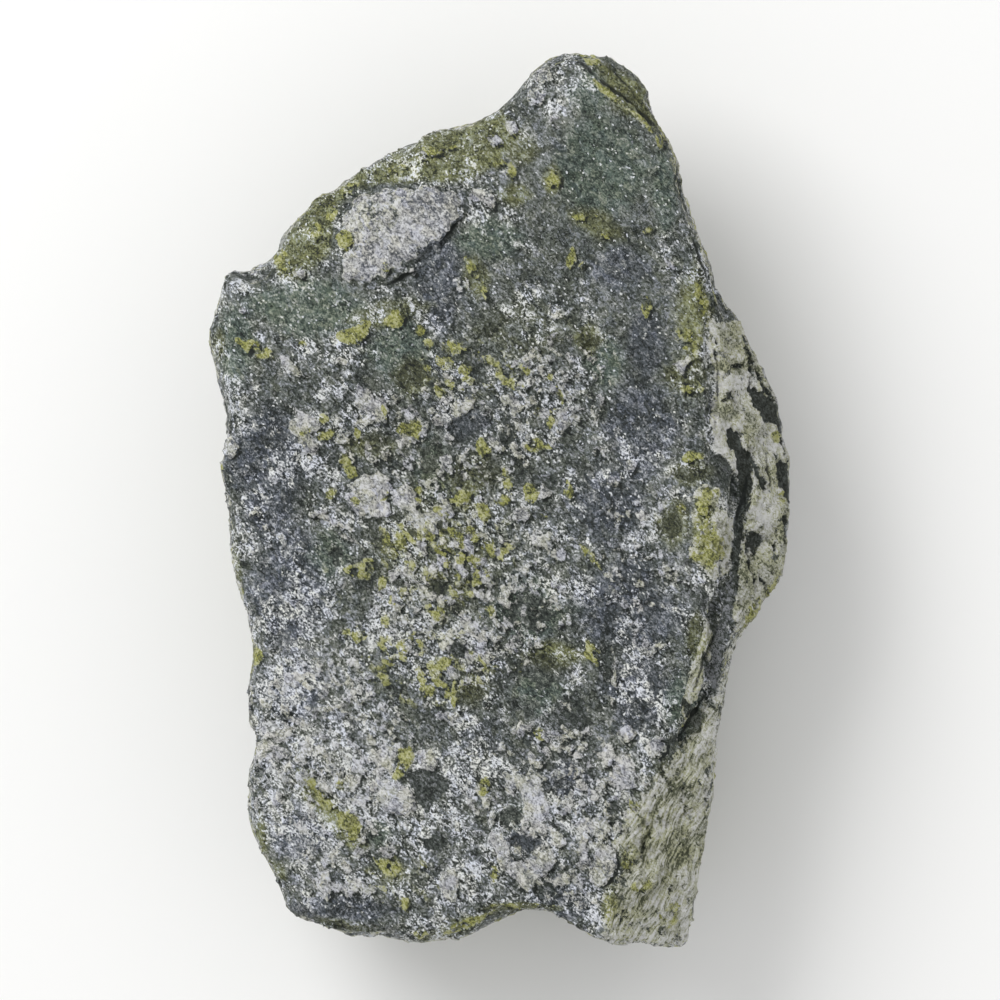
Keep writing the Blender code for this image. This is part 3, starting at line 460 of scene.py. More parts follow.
class SerpentineRelief(bpy.types.PropertyGroup):
    """Sizes of the stone's skin."""

    voxel: size_property("Mesh grain", "Size of the mesh's squares before it is thinned", 0.44, 0.2, 2.0)
    triangles: bpy.props.IntProperty(
        name="Triangles", description="What the finished skin is thinned to", default=194000,
        min=LEAST_TRIANGLES, max=MOST_TRIANGLES)
    softening: bpy.props.IntProperty(
        name="Softening", description="Rounds of smoothing before the relief", default=9, min=0, max=40)
    settle: size_property("Settle", "How far the skin is let down before the relief raises it", 0.30)
    flake_height: size_property("Flake height", "How far a crust flake stands proud", 0.34)
    plate_height: size_property("Plate height", "How far the crust plate's rim stands proud", 0.35)
    lump_size: size_property("Lump size", "Size of the broad face's lumps", 6.0)
    lump_height: size_property("Lump height", "Height of the lumps", 0.60)
    ruck_size: size_property("Ruck size", "Size of the smaller rucks", 1.5)
    ruck_height: size_property("Ruck height", "Height of the rucks", 0.42)
    splinter_height: size_property("Splinter height", "How far a splinter stands proud", 0.20)
    pit_size: size_property("Pit size", "Spacing of the pits", 1.9)
    pit_depth: size_property("Pit depth", "Depth of the pits", 0.50)
    fibre_width: size_property("Fibre width", "Width of a fibre of the flank", 0.38)
    fibre_height: size_property("Fibre height", "Height of a fibre", 0.26)
    window_depth: size_property("Window depth", "How far a dark window lies below the crust", 0.34)
    fray_size: size_property("Fray size", "Size of the largest notch in a patch's edge", 2.0)
    shard_size: size_property("Shard size", "Size of the shards that patches break into", 1.05)
    grain_size: size_property("Grain size", "Size of the rock's grains", 0.24)


class SerpentineColours(bpy.types.PropertyGroup):
    """Colours of the stone."""

    base: colour_property("Base", "Dark green-grey rock under the weathering", 76, 82, 76)
    base_light: colour_property("Base, light", "Lighter mottling of the rock", 102, 108, 99)
    slate: colour_property("Slate", "Blue-grey drift", 77, 83, 91)
    teal: colour_property("Teal", "Green-grey drift", 80, 94, 85)
    olive: colour_property("Olive", "Olive drift", 92, 95, 66)
    moss: colour_property("Moss", "Yellow-olive wash where the olive drift is strong", 128, 131, 86)
    haze: colour_property("Bruise", "Soft pale bruise over the rock", 158, 160, 166)
    haze_green: colour_property("Bruise, green", "Soft bruise over green rock", 150, 156, 142)
    speck: colour_property("Speck", "Small sharp pale specks", 228, 230, 233)
    crust: colour_property("Crust", "Lilac-grey crust", 160, 160, 164)
    crust_cream: colour_property("Crust, cream", "Cream crust and rims", 164, 165, 150)
    stain: colour_property("Stain", "Dark stains in the crust", 82, 85, 90)
    white: colour_property("White", "Brightest crust", 216, 216, 218)
    yellow: colour_property("Yellow", "Yellow-green fleck", 148, 150, 76)
    yellow_pale: colour_property("Yellow, pale", "Waxy rim of a fleck", 184, 184, 146)
    cream: colour_property("Cream", "Crust of the flank", 172, 173, 143)
    fibre_dark: colour_property("Fibre, dark", "Gaps between the flank's fibres", 84, 88, 70)
    # These window colours also paint shade where the dark zone lays it on surfaces in shadow.
    dark: colour_property("Window", "Smooth dark window in the crust", 68, 74, 69)
    dark_olive: colour_property("Window, olive", "Smooth olive window", 72, 75, 52)
    # Besides real dirt and dark grains, this colour paints shade in pits, cracks and grooves, and beside
    # flakes.
    dirt_and_shade: colour_property("Dirt and shade", "Dirt in pits and cracks", 30, 34, 32)


class SerpentineStage(bpy.types.PropertyGroup):
    """The studio."""

    floor: colour_property("Floor", "Pale floor", 246, 246, 245)
    distance: bpy.props.FloatProperty(
        name="Camera distance", description="From the floor to the camera", default=5.0, min=0.5,
        unit="LENGTH")
    width: bpy.props.FloatProperty(
        name="View width", description="Width that the camera sees at the stone's widest line",
        default=PLAN_SIDE * PLAN_UNIT, min=0.01, unit="LENGTH")
    key: bpy.props.FloatProperty(
        name="Key light", description="Strength of the key light", default=11.5, min=0.0)
    world: bpy.props.FloatProperty(
        name="Fill", description="Strength of the even fill", default=0.72, min=0.0)


class Value:
    """What a node works out. Sums and products of values are written as in arithmetic, and add math nodes."""

    def __init__(self, nodes, socket):
        self.nodes, self.socket = nodes, socket

    def __add__(self, other):
        return self.nodes.math("ADD", self, other)

    def __sub__(self, other):
        return self.nodes.math("SUBTRACT", self, other)

    def __rsub__(self, other):
        return self.nodes.math("SUBTRACT", other, self)

    def __mul__(self, other):
        return self.nodes.math("MULTIPLY", self, other)


class Nodes:
    """Adds nodes to one tree and gives back values. It serves the relief and the material alike."""

    def __init__(self, tree):
        self.tree = tree
        self.zones = {}

    def fill(self, node, inputs):
        """Links or sets a node's inputs, which are given by name or by number."""
        for key, value in inputs.items():
            socket = node.inputs[key]
            if isinstance(value, Value):
                self.tree.links.new(value.socket, socket)
            else:
                socket.default_value = (*value, 1.0) if socket.type == "RGBA" else value

    def add(self, kind, inputs=None, **settings):
        node = self.tree.nodes.new(kind)
        for name, setting in settings.items():
            setattr(node, name, setting)
        self.fill(node, inputs or {})
        return node

    def made(self, kind, inputs=None, out=0, **settings):
        """Adds a node and gives back one of its outputs."""
        return Value(self, self.add(kind, inputs, **settings).outputs[out])

    def math(self, operation, *values):
        return self.made("ShaderNodeMath", dict(enumerate(values)), operation=operation)

    def most(self, first, *others):
        for other in others:
            first = self.math("MAXIMUM", first, other)
        return first

    def swing(self, value, reach=1.0):
        """A value from 0 to 1 turned into one from -reach to reach."""
        return self.math("MULTIPLY_ADD", value, 2.0 * reach, -reach)

    def fade(self, value, low, high, start=0.0, end=1.0):
        """A smooth step from start to end as the value goes from low to high."""
        inputs = dict(enumerate((value, low, high, start, end)))
        return self.made("ShaderNodeMapRange", inputs, interpolation_type="SMOOTHSTEP")

    def ease(self, share, start, end):
        """A smooth step from start to end as a share goes from 0 to 1."""
        return self.fade(share, 0.0, 1.0, start, end)

    def vector(self, operation, first, second):
        inputs = {0: first, "Scale" if operation == "SCALE" else 1: second}
        return self.made("ShaderNodeVectorMath", inputs, operation=operation)

    def parts(self, vector):
        """The three numbers of a vector or a colour."""
        return [Value(self, out) for out in self.add("ShaderNodeSeparateXYZ", {0: vector}).outputs]

    def joined(self, *numbers):
        """A vector or a colour made of three numbers."""
        return self.made("ShaderNodeCombineXYZ", dict(enumerate(numbers)))

    def clouds(self, size, detail=3.0, rough=0.55, place=None, colour=False):
        """Fractal noise, from 0 to 1, with lumps of this size in millimetres."""
        inputs = {"Vector": place or self.place, "Scale": 1.0 / (size * MM)}
        inputs.update(Detail=detail, Roughness=rough)
        return self.made("ShaderNodeTexNoise", inputs, out=1 if colour else 0)

    def cells(self, size, place):
        """Three even random values for each cell of this size in millimetres."""
        inputs = {"Vector": place, "Scale": 1.0 / (size * MM)}
        return self.parts(self.made("ShaderNodeTexVoronoi", inputs, out="Color"))

    def pushed(self, colour, reach, place=None):
        """The place, pushed about by a colour as far as reach, in millimetres."""
        push = self.vector("SUBTRACT", colour, (0.5, 0.5, 0.5))
        return self.vector("ADD", place or self.place, self.vector("SCALE", push, 2.0 * reach * MM))

    def drawn_out(self, turn, length, place=None):
        """The place, drawn out this many times along a line turned so many degrees on the plan."""
        place = place or self.place
        line = (math.cos(math.radians(turn)), math.sin(math.radians(turn)), 0.0)
        along = self.made("ShaderNodeVectorMath", {0: place, 1: line}, out="Value", operation="DOT_PRODUCT")
        cut = self.joined(*(along * (part * (1.0 - 1.0 / length)) for part in line))
        return self.vector("SUBTRACT", place, cut)

    def mix(self, factor, first, second, blend="MIX"):
        """Two colours mixed."""
        inputs = {0: factor, 6: first, 7: second}
        return self.made("ShaderNodeMix", inputs, out=2, data_type="RGBA", blend_type=blend)

    def shaded(self, colour, value):
        """A colour made lighter or darker by a value about 1."""
        return self.mix(1.0, colour, self.joined(value, value, value), "MULTIPLY")

    def toned(self, tone, colour, *steps):
        """A colour picked by the tone. Each step has a start, an end, the share it lays on and its colour."""
        for low, high, share, other in steps:
            colour = self.mix(self.fade(tone, low, high, 0.0, share), colour, other)
        return colour

    def zone(self, name):
        if name not in self.zones:
            self.zones[name] = self.read(name)
        return self.zones[name]


class ReliefNodes(Nodes):
    """Nodes of a modifier."""

    def __init__(self, name):
        super().__init__(bpy.data.node_groups.new(name, "GeometryNodeTree"))
        for way in ("INPUT", "OUTPUT"):
            self.tree.interface.new_socket("Geometry", in_out=way, socket_type="NodeSocketGeometry")
        self.flow = self.made("NodeGroupInput")
        self.place = self.made("GeometryNodeInputPosition")

    def read(self, name, kind="FLOAT"):
        return self.made("GeometryNodeInputNamedAttribute", {"Name": name}, out="Attribute", data_type=kind)

    def store(self, name, value, kind="FLOAT"):
        """Keeps a value on the points under a name."""
        inputs = {"Geometry": self.flow, "Name": name, "Value": value}
        self.flow = self.made("GeometryNodeStoreNamedAttribute", inputs, data_type=kind)

    def finish(self):
        self.add("NodeGroupOutput", {0: self.flow})
        return self.tree


class PaintNodes(Nodes):
    """Nodes of the stone's material, and the patterns that its layers share."""

    def __init__(self, tree, sizes):
        super().__init__(tree)
        self.place = self.made("ShaderNodeTexCoord", out="Object")
        levels, self.shards, fray = patch_levels(self, sizes, FRAYS)
        self.masks = patch_masks(self, levels)
        self.masks.update(soft_masks(self, levels, self.masks))
        speckle = self.clouds(0.62, 2.0, 0.72, colour=True)
        self.grains = self.cells(sizes.grain_size, self.drawn_out(*GRAIN_RUN, self.pushed(speckle, 0.25)))
        self.fibres, strokes = strands(self, sizes)
        self.tone = stone_tone(self, fray, strokes)
        self.dull = self.fade(self.grains[2], 0.88, 0.91)

    def read(self, name, kind="FLOAT"):
        return self.made("ShaderNodeAttribute", out="Color" if kind == COLOUR else "Fac", attribute_name=name)


def patch_levels(nodes, sizes, kinds, place=None, prefix=""):
    """How far inside each kind of patch a point is. The edge, at 0.5, is frayed by clouds and splinters."""
    place = place or nodes.place
    fray = nodes.clouds(sizes.fray_size, 5.0, 0.66, place, colour=True)
    clouds = nodes.parts(fray)
    shards = nodes.cells(sizes.shard_size, nodes.drawn_out(*SHARD_RUN, nodes.pushed(fray, 1.3, place)))
    levels = {}
    for kind in kinds:
        cloud, cloud_reach, shard, shard_reach = FRAYS[kind]
        laid = nodes.zone(prefix + kind)
        ragged = nodes.swing(clouds[cloud], cloud_reach) + nodes.swing(shards[shard], shard_reach)
        levels[kind] = nodes.math("MULTIPLY_ADD", ragged, nodes.fade(laid, 0.0, 0.25), laid)
    return levels, shards, fray


def patch_masks(nodes, levels):
    """Where each kind of patch is, with a crisp edge."""
    masks = {kind: nodes.fade(level, *PATCH_EDGE) for kind, level in levels.items()}
    masks["crusty"] = nodes.most(masks["crust"], masks["plate"])
    return masks


def soft_masks(nodes, levels, masks):
    """The soft edges of wax and windows, the rim of crust and plate with its painted highlight, and painted
    shade round a flake.
    """
    # Painted highlight: a light band inside the rim of each crust flake and of the plate.
    rims = (masks[kind] * nodes.fade(levels[kind], 0.80, 0.58) for kind in ("crust", "plate"))
    return {
        "wax": nodes.fade(levels["yellow"], 0.36, 0.80),
        "pane": nodes.fade(levels["dark"], 0.40, 0.66),
        "rim": nodes.most(*rims),
        # Painted shade: a dark band just outside each crust flake.
        "under": nodes.fade(levels["crust"], 0.28, 0.44) * (1.0 - masks["crust"]),
    }


def strands(nodes, sizes):
    """Fibres of the flank, and finer strokes that run the other way over the broad face."""
    bent = nodes.pushed(nodes.read("bend", COLOUR), 2.6)
    # Flattened, so that the fibres don't break up on the steep flank.
    sheets = nodes.vector("MULTIPLY", bent, (1.0, 1.0, 0.18))
    fibres = nodes.clouds(sizes.fibre_width, 3.0, 0.62, nodes.drawn_out(*FIBRE_RUN, sheets))
    strokes = nodes.clouds(sizes.fibre_width, 3.0, 0.62, nodes.drawn_out(*STROKE_RUN))
    return fibres, strokes


def weathering_group(colours):
    """A modifier's nodes, which spread the zones round the sides and keep the slow patterns on the points."""
    nodes = ReliefNodes("serpentine_weathering")
    zone, clouds, fade, swing = nodes.zone, nodes.clouds, nodes.fade, nodes.swing
    seen = zone("seen")
    for index, name in enumerate(ZONES):
        least, more, size = WILD_ZONES[name]
        elsewhere = nodes.vector("ADD", nodes.place, [step * index for step in ZONE_STEP])
        wild = fade(clouds(size, 4.0, 0.6, elsewhere), 0.42, 0.68, least, least + more)
        nodes.store(name, nodes.math("MULTIPLY_ADD", zone(name) - wild, seen, wild))

    mottle = fade(clouds(3.4, 6.0, 0.62), 0.36, 0.66)
    rock = nodes.mix(mottle, colours.base, colours.base_light)
    for name, size, share in (("slate", 6.0, 0.9), ("teal", 5.0, 0.9), ("olive", 3.6, 1.0)):
        drift = zone(name) + swing(clouds(size, 6.0, 0.64), 0.75)
        tint = nodes.shaded(getattr(colours, name), nodes.ease(mottle, 0.86, 1.25))
        rock = nodes.mix(fade(drift, 0.15, 0.90, 0.0, share), rock, tint)
    moss = nodes.most(zone("olive"), zone("yellow") * 1.25) + swing(clouds(2.2, 6.0, 0.66), 1.3)
    wash = nodes.shaded(colours.moss, nodes.ease(mottle, 0.8, 1.2))
    nodes.store("rock", nodes.mix(fade(moss, 0.65, 1.35, 0.0, 0.9), rock, wash), COLOUR)

    veils = (swing(clouds(11.0, 3.0, 0.6), 1.1) + swing(clouds(4.6, 5.0, 0.62), 1.1)
             + swing(clouds(2.0, 4.0, 0.62)))
    nodes.store("haze", fade(zone("frost") * 0.8 + veils, 0.15, 0.63))
    nodes.store("bend", clouds(9.0, 2.0, colour=True), COLOUR)
    nodes.store("hue", fade(clouds(3.2, 4.0, 0.6), 0.40, 0.60))
    nodes.store("green", nodes.most(zone("olive"), zone("teal")))
    return nodes.finish()


def relief_group(sizes):
    """A modifier's nodes, which raise the relief along the skin's normals."""
    nodes = ReliefNodes("serpentine_relief")
    zone, fade, swing = nodes.zone, nodes.fade, nodes.swing
    levels, shards, _fray = patch_levels(nodes, sizes, FRAYS)
    masks = patch_masks(nodes, levels)
    fibres, strokes = strands(nodes, sizes)
    lumps = swing(nodes.clouds(sizes.lump_size, 3.0, 0.5))
    rucks = swing(nodes.clouds(sizes.ruck_size, 4.0, 0.62))
    pits = fade(nodes.clouds(sizes.pit_size, 4.0, 0.6), 0.37, 0.30)
    height, *others = (mask * (size * MM) for mask, size in (
        (rucks * (1.0 - masks["dark"] * 0.7), sizes.ruck_height),
        (masks["crust"], sizes.flake_height),
        (masks["plate"], sizes.plate_height),
        (masks["yellow"], 0.5 * sizes.flake_height),
        (masks["cream"] * (1.0 - masks["dark"]), 0.8 * sizes.flake_height),
        (swing(fibres, 2.0) * zone("fibre"), sizes.fibre_height),
        (swing(strokes), 0.3 * sizes.ruck_height),
        (pits * (1.0 - masks["crusty"]), -sizes.pit_depth),
        (masks["dark"], -sizes.window_depth),
        (fade(zone("crack"), 0.1, 1.0), -0.9 * sizes.window_depth),
        (swing(shards[0]), sizes.splinter_height),
    ))
    height = sum(others, height)
    # The fine relief is gentler round the sides, which weather smoother.
    height = height * nodes.ease(zone("seen"), 0.42, 1.0)
    height = height + lumps * (sizes.lump_height * MM) - sizes.settle * MM
    height = height * fade(nodes.parts(nodes.place)[2], *FOOT)
    lift = nodes.vector("SCALE", nodes.made("GeometryNodeInputNormal"), height)
    nodes.flow = nodes.made("GeometryNodeSetPosition", {"Geometry": nodes.flow, "Offset": lift})
    nodes.store("pits", pits)
    # Painted shadow: where a proud flake lies up-light of a point outside it, the point is stored as cast,
    # and the material darkens it.
    down_light = patch_levels(nodes, sizes, PROUD, nodes.vector("ADD", nodes.place, UP_LIGHT), "cast_")[0]
    cast = nodes.most(*(fade(level, 0.44, 0.60) for level in down_light.values()))
    nodes.store("cast", cast * (1.0 - nodes.most(masks["crusty"], masks["yellow"])))
    return nodes.finish()


def stone_tone(nodes, fray, strokes):
    """How light each grain is, as a spread about 0 whose usual size is 1."""
    rags = nodes.clouds(0.85, 5.0, 0.80, nodes.pushed(fray, 3.0))
    facets = nodes.cells(2.2, nodes.drawn_out(*FACET_RUN, nodes.pushed(fray, 2.2)))
    spreads = (rags, 7.4), (facets[0], 0.7), (nodes.shards[1], 0.9), (nodes.grains[0], 2.2), (strokes, 2.6)
    tone, *others = (nodes.swing(value, reach) for value, reach in spreads)
    return sum(others, tone)


def rock_colour(nodes, colours, bruise):
    """Bare rock under soft bruises, with bright and dull grains, and painted shadow and shade beside the
    flakes.
    """
    zone, ease = nodes.zone, nodes.ease
    haze, calm = zone("haze"), zone("calm")
    lively = ease(haze, 0.68, 1.34) * ease(calm, 1.0, 0.82)
    veil = nodes.swing(haze, 0.6) * ease(calm, 1.0, 0.35)
    # Painted shadow and shade: cast darkens the rock beside proud flakes, and under darkens it round crust
    # flakes.
    crowd = veil + zone("frost") * 0.9 + calm * 0.48 - 0.08 - zone("cast") * 2.2 - nodes.masks["under"] * 0.5
    rock = nodes.read("rock", COLOUR)
    rock = nodes.toned(nodes.tone * lively + crowd, colours.dirt_and_shade, (-2.7, 0.4, 1.0, rock),
                       (-0.5, 2.0, 0.8, bruise), (1.3, 3.1, 0.95, colours.speck))
    bright = nodes.fade(nodes.grains[1] + haze * 0.05, 0.975, 0.995)
    rock = nodes.mix(bright * 0.8, rock, colours.speck)
    return nodes.mix(nodes.dull * 0.5, rock, colours.dirt_and_shade)


def crust_colour(nodes, colours):
    """Crust flakes and the crust plate, which is lilac in its middle and cream along its rim, with painted
    rim highlights.
    """
    zone, masks = nodes.zone, nodes.masks
    creamy = nodes.most(zone("hue") * (1.0 - masks["plate"] * 0.7), masks["plate"] * masks["rim"])
    crust = nodes.mix(creamy, colours.crust, colours.crust_cream)
    # Painted shadow: cast darkens the crust beside a proud flake.
    grain_and_painted_shadow = nodes.tone * nodes.ease(masks["plate"], 0.95, 1.08) - zone("cast") * 1.4 - nodes.dull * 0.8
    thick = nodes.fade(zone("crust"), 0.6, 1.2)
    # Painted highlight: the rim term brightens the edge of each flake and of the plate.
    tone = grain_and_painted_shadow + thick * 0.7 + zone("frost") * 0.6 + masks["rim"] * 1.1 - 0.25
    return nodes.toned(tone, colours.stain, (-2.8, 0.2, 1.0, crust), (0.0, 2.8, 0.9, colours.white))


def flank_colour(nodes, colours):
    """The flank's cream crust, with dark gaps between its fibres."""
    zone, ease = nodes.zone, nodes.ease
    fibre = zone("fibre")
    cream = nodes.mix(zone("hue"), colours.cream, colours.crust_cream)
    cream = nodes.mix(nodes.fade(zone("olive"), 0.5, 1.3, 0.0, 0.9), cream, colours.yellow)
    strand = nodes.swing(nodes.fibres, 9.0) * (fibre * 0.8 + 0.2)
    blunt = nodes.fade(fibre, 0.3, 1.0, 1.0, 0.72)
    chalk = (nodes.tone * blunt + strand + nodes.swing(zone("haze"), 0.7) - nodes.dull * 0.8
             + zone("frost") * 2.4 - fibre * 0.25 + 0.85)
    return nodes.toned(chalk, colours.fibre_dark, (-2.6, 0.0, 1.0, cream), (0.4, 3.2, 0.72, colours.white))


def wax_colour(nodes, colours):
    """Yellow-green flecks with paler waxy rims."""
    tone = nodes.tone + nodes.swing(nodes.shards[0], 1.2) - nodes.dull * 0.6
    return nodes.toned(tone, colours.dark_olive, (-2.4, 0.5, 1.0, colours.yellow),
                       (0.4, 2.8, 0.9, colours.yellow_pale))


def window_colour(nodes, colours, bruise):
    """Smooth dark windows, tinted by the olive or slate rock round them; the same layer paints shade in
    shadowed places.
    """
    zone = nodes.zone
    glass = nodes.mix(zone("olive"), colours.dark, colours.dark_olive)
    glass = nodes.mix(nodes.fade(zone("slate"), 0.4, 1.1, 0.0, 0.8), glass, colours.slate)
    tone = nodes.tone * 0.8 - nodes.fade(zone("cream"), 0.2, 0.7) * 1.5 + zone("fibre") * 1.9
    return nodes.toned(tone, colours.dirt_and_shade, (-2.2, 0.6, 1.0, glass), (0.9, 2.8, 0.7, bruise))


def stone_colour(nodes, colours):
    """The whole colour of the stone, laid on in layers as the weathering is, then dirt and painted shade in
    pits and cracks.
    """
    masks, mix = nodes.masks, nodes.mix
    bruise = mix(nodes.zone("green"), colours.haze, colours.haze_green)
    skin = rock_colour(nodes, colours, bruise)
    skin = mix(masks["crusty"] * 0.95, skin, crust_colour(nodes, colours))
    skin = mix(1.0, skin, mix(nodes.shards[2], WARM, COOL), "MULTIPLY")
    skin = mix(masks["cream"] * 0.95, skin, flank_colour(nodes, colours))
    skin = mix(masks["wax"] * 0.92, skin, wax_colour(nodes, colours))
    skin = mix(masks["pane"] * 0.96, skin, window_colour(nodes, colours, bruise))
    # Dirt and painted shade in the pits.
    skin = mix(nodes.zone("pits") * (1.0 - masks["crusty"]) * 0.6, skin, colours.dirt_and_shade)
    # Dirt and painted shade in cracks, grooves and seams, and painted shadow under the plate's edge.
    crack = nodes.zone("crack") + nodes.tone * 0.12
    return mix(nodes.fade(crack, 0.30, 0.85, 0.0, 0.9), skin, colours.dirt_and_shade)


def stone_material(sizes, colours):
    """Weathered serpentine: matt crust and bruises over slightly waxy rock."""
    material = bpy.data.materials.new("serpentine_stone")
    material.use_nodes = True
    nodes = PaintNodes(material.node_tree, sizes)
    matt = nodes.most(nodes.masks["crusty"], nodes.masks["cream"])
    bump = {"Strength": 0.9, "Distance": 0.30 * MM, "Height": nodes.clouds(0.5, 3.0, 0.75)}
    nodes.fill(material.node_tree.nodes["Principled BSDF"], {
        "Base Color": stone_colour(nodes, colours),
        "Roughness": nodes.ease(matt, 0.56, 0.86) + nodes.swing(nodes.grains[0], 0.06),
        "Specular IOR Level": 0.20,
        "Normal": nodes.made("ShaderNodeBump", bump, out="Normal"),
    })
    return material


def read_vectors(mesh, name):
    """Each point's place ("co") or normal ("normal")."""
    values = np.empty(len(mesh.vertices) * 3, np.float32)
    mesh.vertices.foreach_get(name, values)
    return values.reshape(-1, 3).astype(float)


def store_floats(mesh, name, values):
    mesh.attributes.new(name, "FLOAT", "POINT")
    mesh.attributes[name].data.foreach_set("value", values.astype(np.float32))


def smoothstep(values, low, high):
    share = ((values - low) / (high - low)).clip(0.0, 1.0)
    return share * share * (3 - 2 * share)


def near(plan, x, y, reach):
    """Which points of the plan lie within reach of a place, in both directions."""
    return np.flatnonzero((abs(plan[:, 0] - x) < reach) & (abs(plan[:, 1] - y) < reach))


def spot_weight(plan, x, y, half_length, half_width, turn=0.0):
    """1 in a spot's middle, 0.5 on its edge, falling to 0 half as far again outside it."""
    angle = math.radians(turn)
    across, down = plan[:, 0] - x, plan[:, 1] - y
    along = across * math.cos(angle) - down * math.sin(angle)
    aside = across * math.sin(angle) + down * math.cos(angle)
    gap = (abs(along / half_length) ** POINTED + abs(aside / half_width) ** POINTED) ** (1.0 / POINTED)
    return 1.0 - smoothstep(gap, *SPOT_EDGE)


def entries(table, zone):
    """The words of each entry that a table has for a zone."""
    return [entry.split() for entry in table.get(zone, "").split(";") if entry.strip()]


def numbers(word):
    return tuple(float(number) for number in word.split(","))


def field_weight(plan, corners, soft):
    """1 inside a field, 0 outside it, softened on each side of its edge."""
    x, y = plan[:, 0], plan[:, 1]
    within = np.zeros(len(plan), bool)
    gap = np.full(len(plan), np.inf)
    for (ax, ay), (bx, by) in zip(corners, corners[1:] + corners[:1]):
        if ay != by:
            within ^= ((ay > y) != (by > y)) & (x < (bx - ax) * (y - ay) / (by - ay) + ax)
        run = np.array((bx - ax, by - ay))
        share = (((x - ax) * run[0] + (y - ay) * run[1]) / (run @ run)).clip(0.0, 1.0)
        gap = np.minimum(gap, np.hypot(x - ax - share * run[0], y - ay - share * run[1]))
    return smoothstep(np.where(within, gap, -gap), -soft, soft)


def laid_zone(plan, zone):
    """How much of a zone the tables lay at each point of the plan. Frost adds up, and other zones overlap."""
    adds = zone == "frost"
    laid = np.full(len(plan), BASE_FROST if adds else 0.0)
    for _name, place, sizes, strength in entries(SPOTS, zone):
        (x, y), sizes = numbers(place), numbers(sizes)
        reached = near(plan, x, y, SPOT_EDGE[1] * max(sizes[:2]))
        weight = float(strength) * spot_weight(plan[reached], x, y, *sizes)
        laid[reached] = laid[reached] + weight if adds else np.maximum(laid[reached], weight)
    for _name, strength, soft, *corners in entries(FIELDS, zone):
        soft, corners = float(soft), [numbers(corner) for corner in corners]
        low, high = np.min(corners, axis=0), np.max(corners, axis=0)
        reached = near(plan, *(0.5 * (low + high)), 0.5 * (high - low).max() + soft)
        weight = float(strength) * field_weight(plan[reached], corners, soft)
        laid[reached] = np.maximum(laid[reached], weight)
    return laid


def paint_zones(mesh):
    """Stores each zone on the stone's points as the tables lay it, and how far each is seen from above."""
    points, normals = read_vectors(mesh, "co"), read_vectors(mesh, "normal")
    plan = np.column_stack((PLAN_MIDDLE + points[:, 0] / PLAN_UNIT, PLAN_MIDDLE - points[:, 1] / PLAN_UNIT))
    for zone in ZONES:
        store_floats(mesh, zone, laid_zone(plan, zone))
    # The proud zones once more, a shadow's length up-light, for the painted shadow beside flakes.
    up_light = plan + np.array((UP_LIGHT[0], -UP_LIGHT[1])) / PLAN_UNIT
    for zone in PROUD:
        store_floats(mesh, "cast_" + zone, laid_zone(up_light, zone))
    seen = smoothstep(normals[:, 2], *SEEN_SLOPE) * smoothstep(points[:, 2], *SEEN_HEIGHT)
    store_floats(mesh, "seen", seen)
    return seen


def select_only(*objects):
    bpy.ops.object.select_all(action="DESELECT")
    for obj in objects:
        obj.select_set(True)
    bpy.context.view_layer.objects.active = objects[0]


def apply_modifier(stone, kind, name, **settings):
    """Adds a modifier, sets it and applies it."""
    modifier = stone.modifiers.new(name, kind)
    for setting, value in settings.items():
        setattr(modifier, setting, value)
    bpy.ops.object.modifier_apply(modifier=modifier.name)


def copy_of_node():
    """A merged copy of the CAD stone, on which the skin is raised."""
    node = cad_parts[NODE]
    select_only(node)
    bpy.ops.object.duplicate()
    stone = bpy.context.active_object
    stone.name = PIECE
    stone.data.name = PIECE
    bpy.ops.object.mode_set(mode="EDIT")
    bpy.ops.mesh.select_all(action="SELECT")
    bpy.ops.mesh.remove_doubles(threshold=0.001 * MM)
    bpy.ops.object.mode_set(mode="OBJECT")
    return stone


def thin(stone, triangles, detailed):
    """Thins the skin to this many triangles, and keeps more of them where detailed is near 1."""
    group = stone.vertex_groups.new(name="coarse")
    coarse = np.ceil(COARSE_STEPS * (1.0 - SPARED * detailed))
    for step in range(1, COARSE_STEPS + 1):
        group.add(np.flatnonzero(coarse == step).tolist(), step / COARSE_STEPS, "REPLACE")
    count = sum(len(face.vertices) - 2 for face in stone.data.polygons)
    apply_modifier(stone, "DECIMATE", "Thin the skin", ratio=min(1.0, triangles / count),
                   vertex_group=group.name, use_collapse_triangulate=True)
    stone.vertex_groups.remove(stone.vertex_groups["coarse"])


def keep_in_box(mesh, box):
    """Moves the few points that the relief raised past the CAD model's box back onto it."""
    points = read_vectors(mesh, "co").clip(box[0], box[1])
    mesh.vertices.foreach_set("co", points.ravel().astype(np.float32))
    mesh.update()


class SERPENTINE_OT_stone(bpy.types.Operator):
    """Build the stone's skin over the CAD solid, with its relief and material"""

    bl_idname = "serpentine.stone"
    bl_label = "Build the stone"

    def execute(self, context):
        sizes, colours = context.scene.serpentine_relief, context.scene.serpentine_colours
        stone = copy_of_node()
        apply_modifier(stone, "REMESH", "Even skin", mode="VOXEL", voxel_size=sizes.voxel * MM)
        apply_modifier(stone, "SMOOTH", "Soften facets", factor=0.5, iterations=sizes.softening)
        seen = paint_zones(stone.data)
        apply_modifier(stone, "NODES", "Weathering", node_group=weathering_group(colours))
        apply_modifier(stone, "NODES", "Relief", node_group=relief_group(sizes))
        thin(stone, sizes.triangles, seen)
        keep_in_box(stone.data, CAD_BOX)
        select_only(stone)
        bpy.ops.object.shade_smooth()
        stone.data.materials.clear()
        stone.data.materials.append(stone_material(sizes, colours))
        if not LEAST_TRIANGLES <= len(stone.data.polygons) <= MOST_TRIANGLES:
            raise RuntimeError(f"the stone's skin has {len(stone.data.polygons)} faces")
        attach(stone, "root")
        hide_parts(NODE)
        return {"FINISHED"}


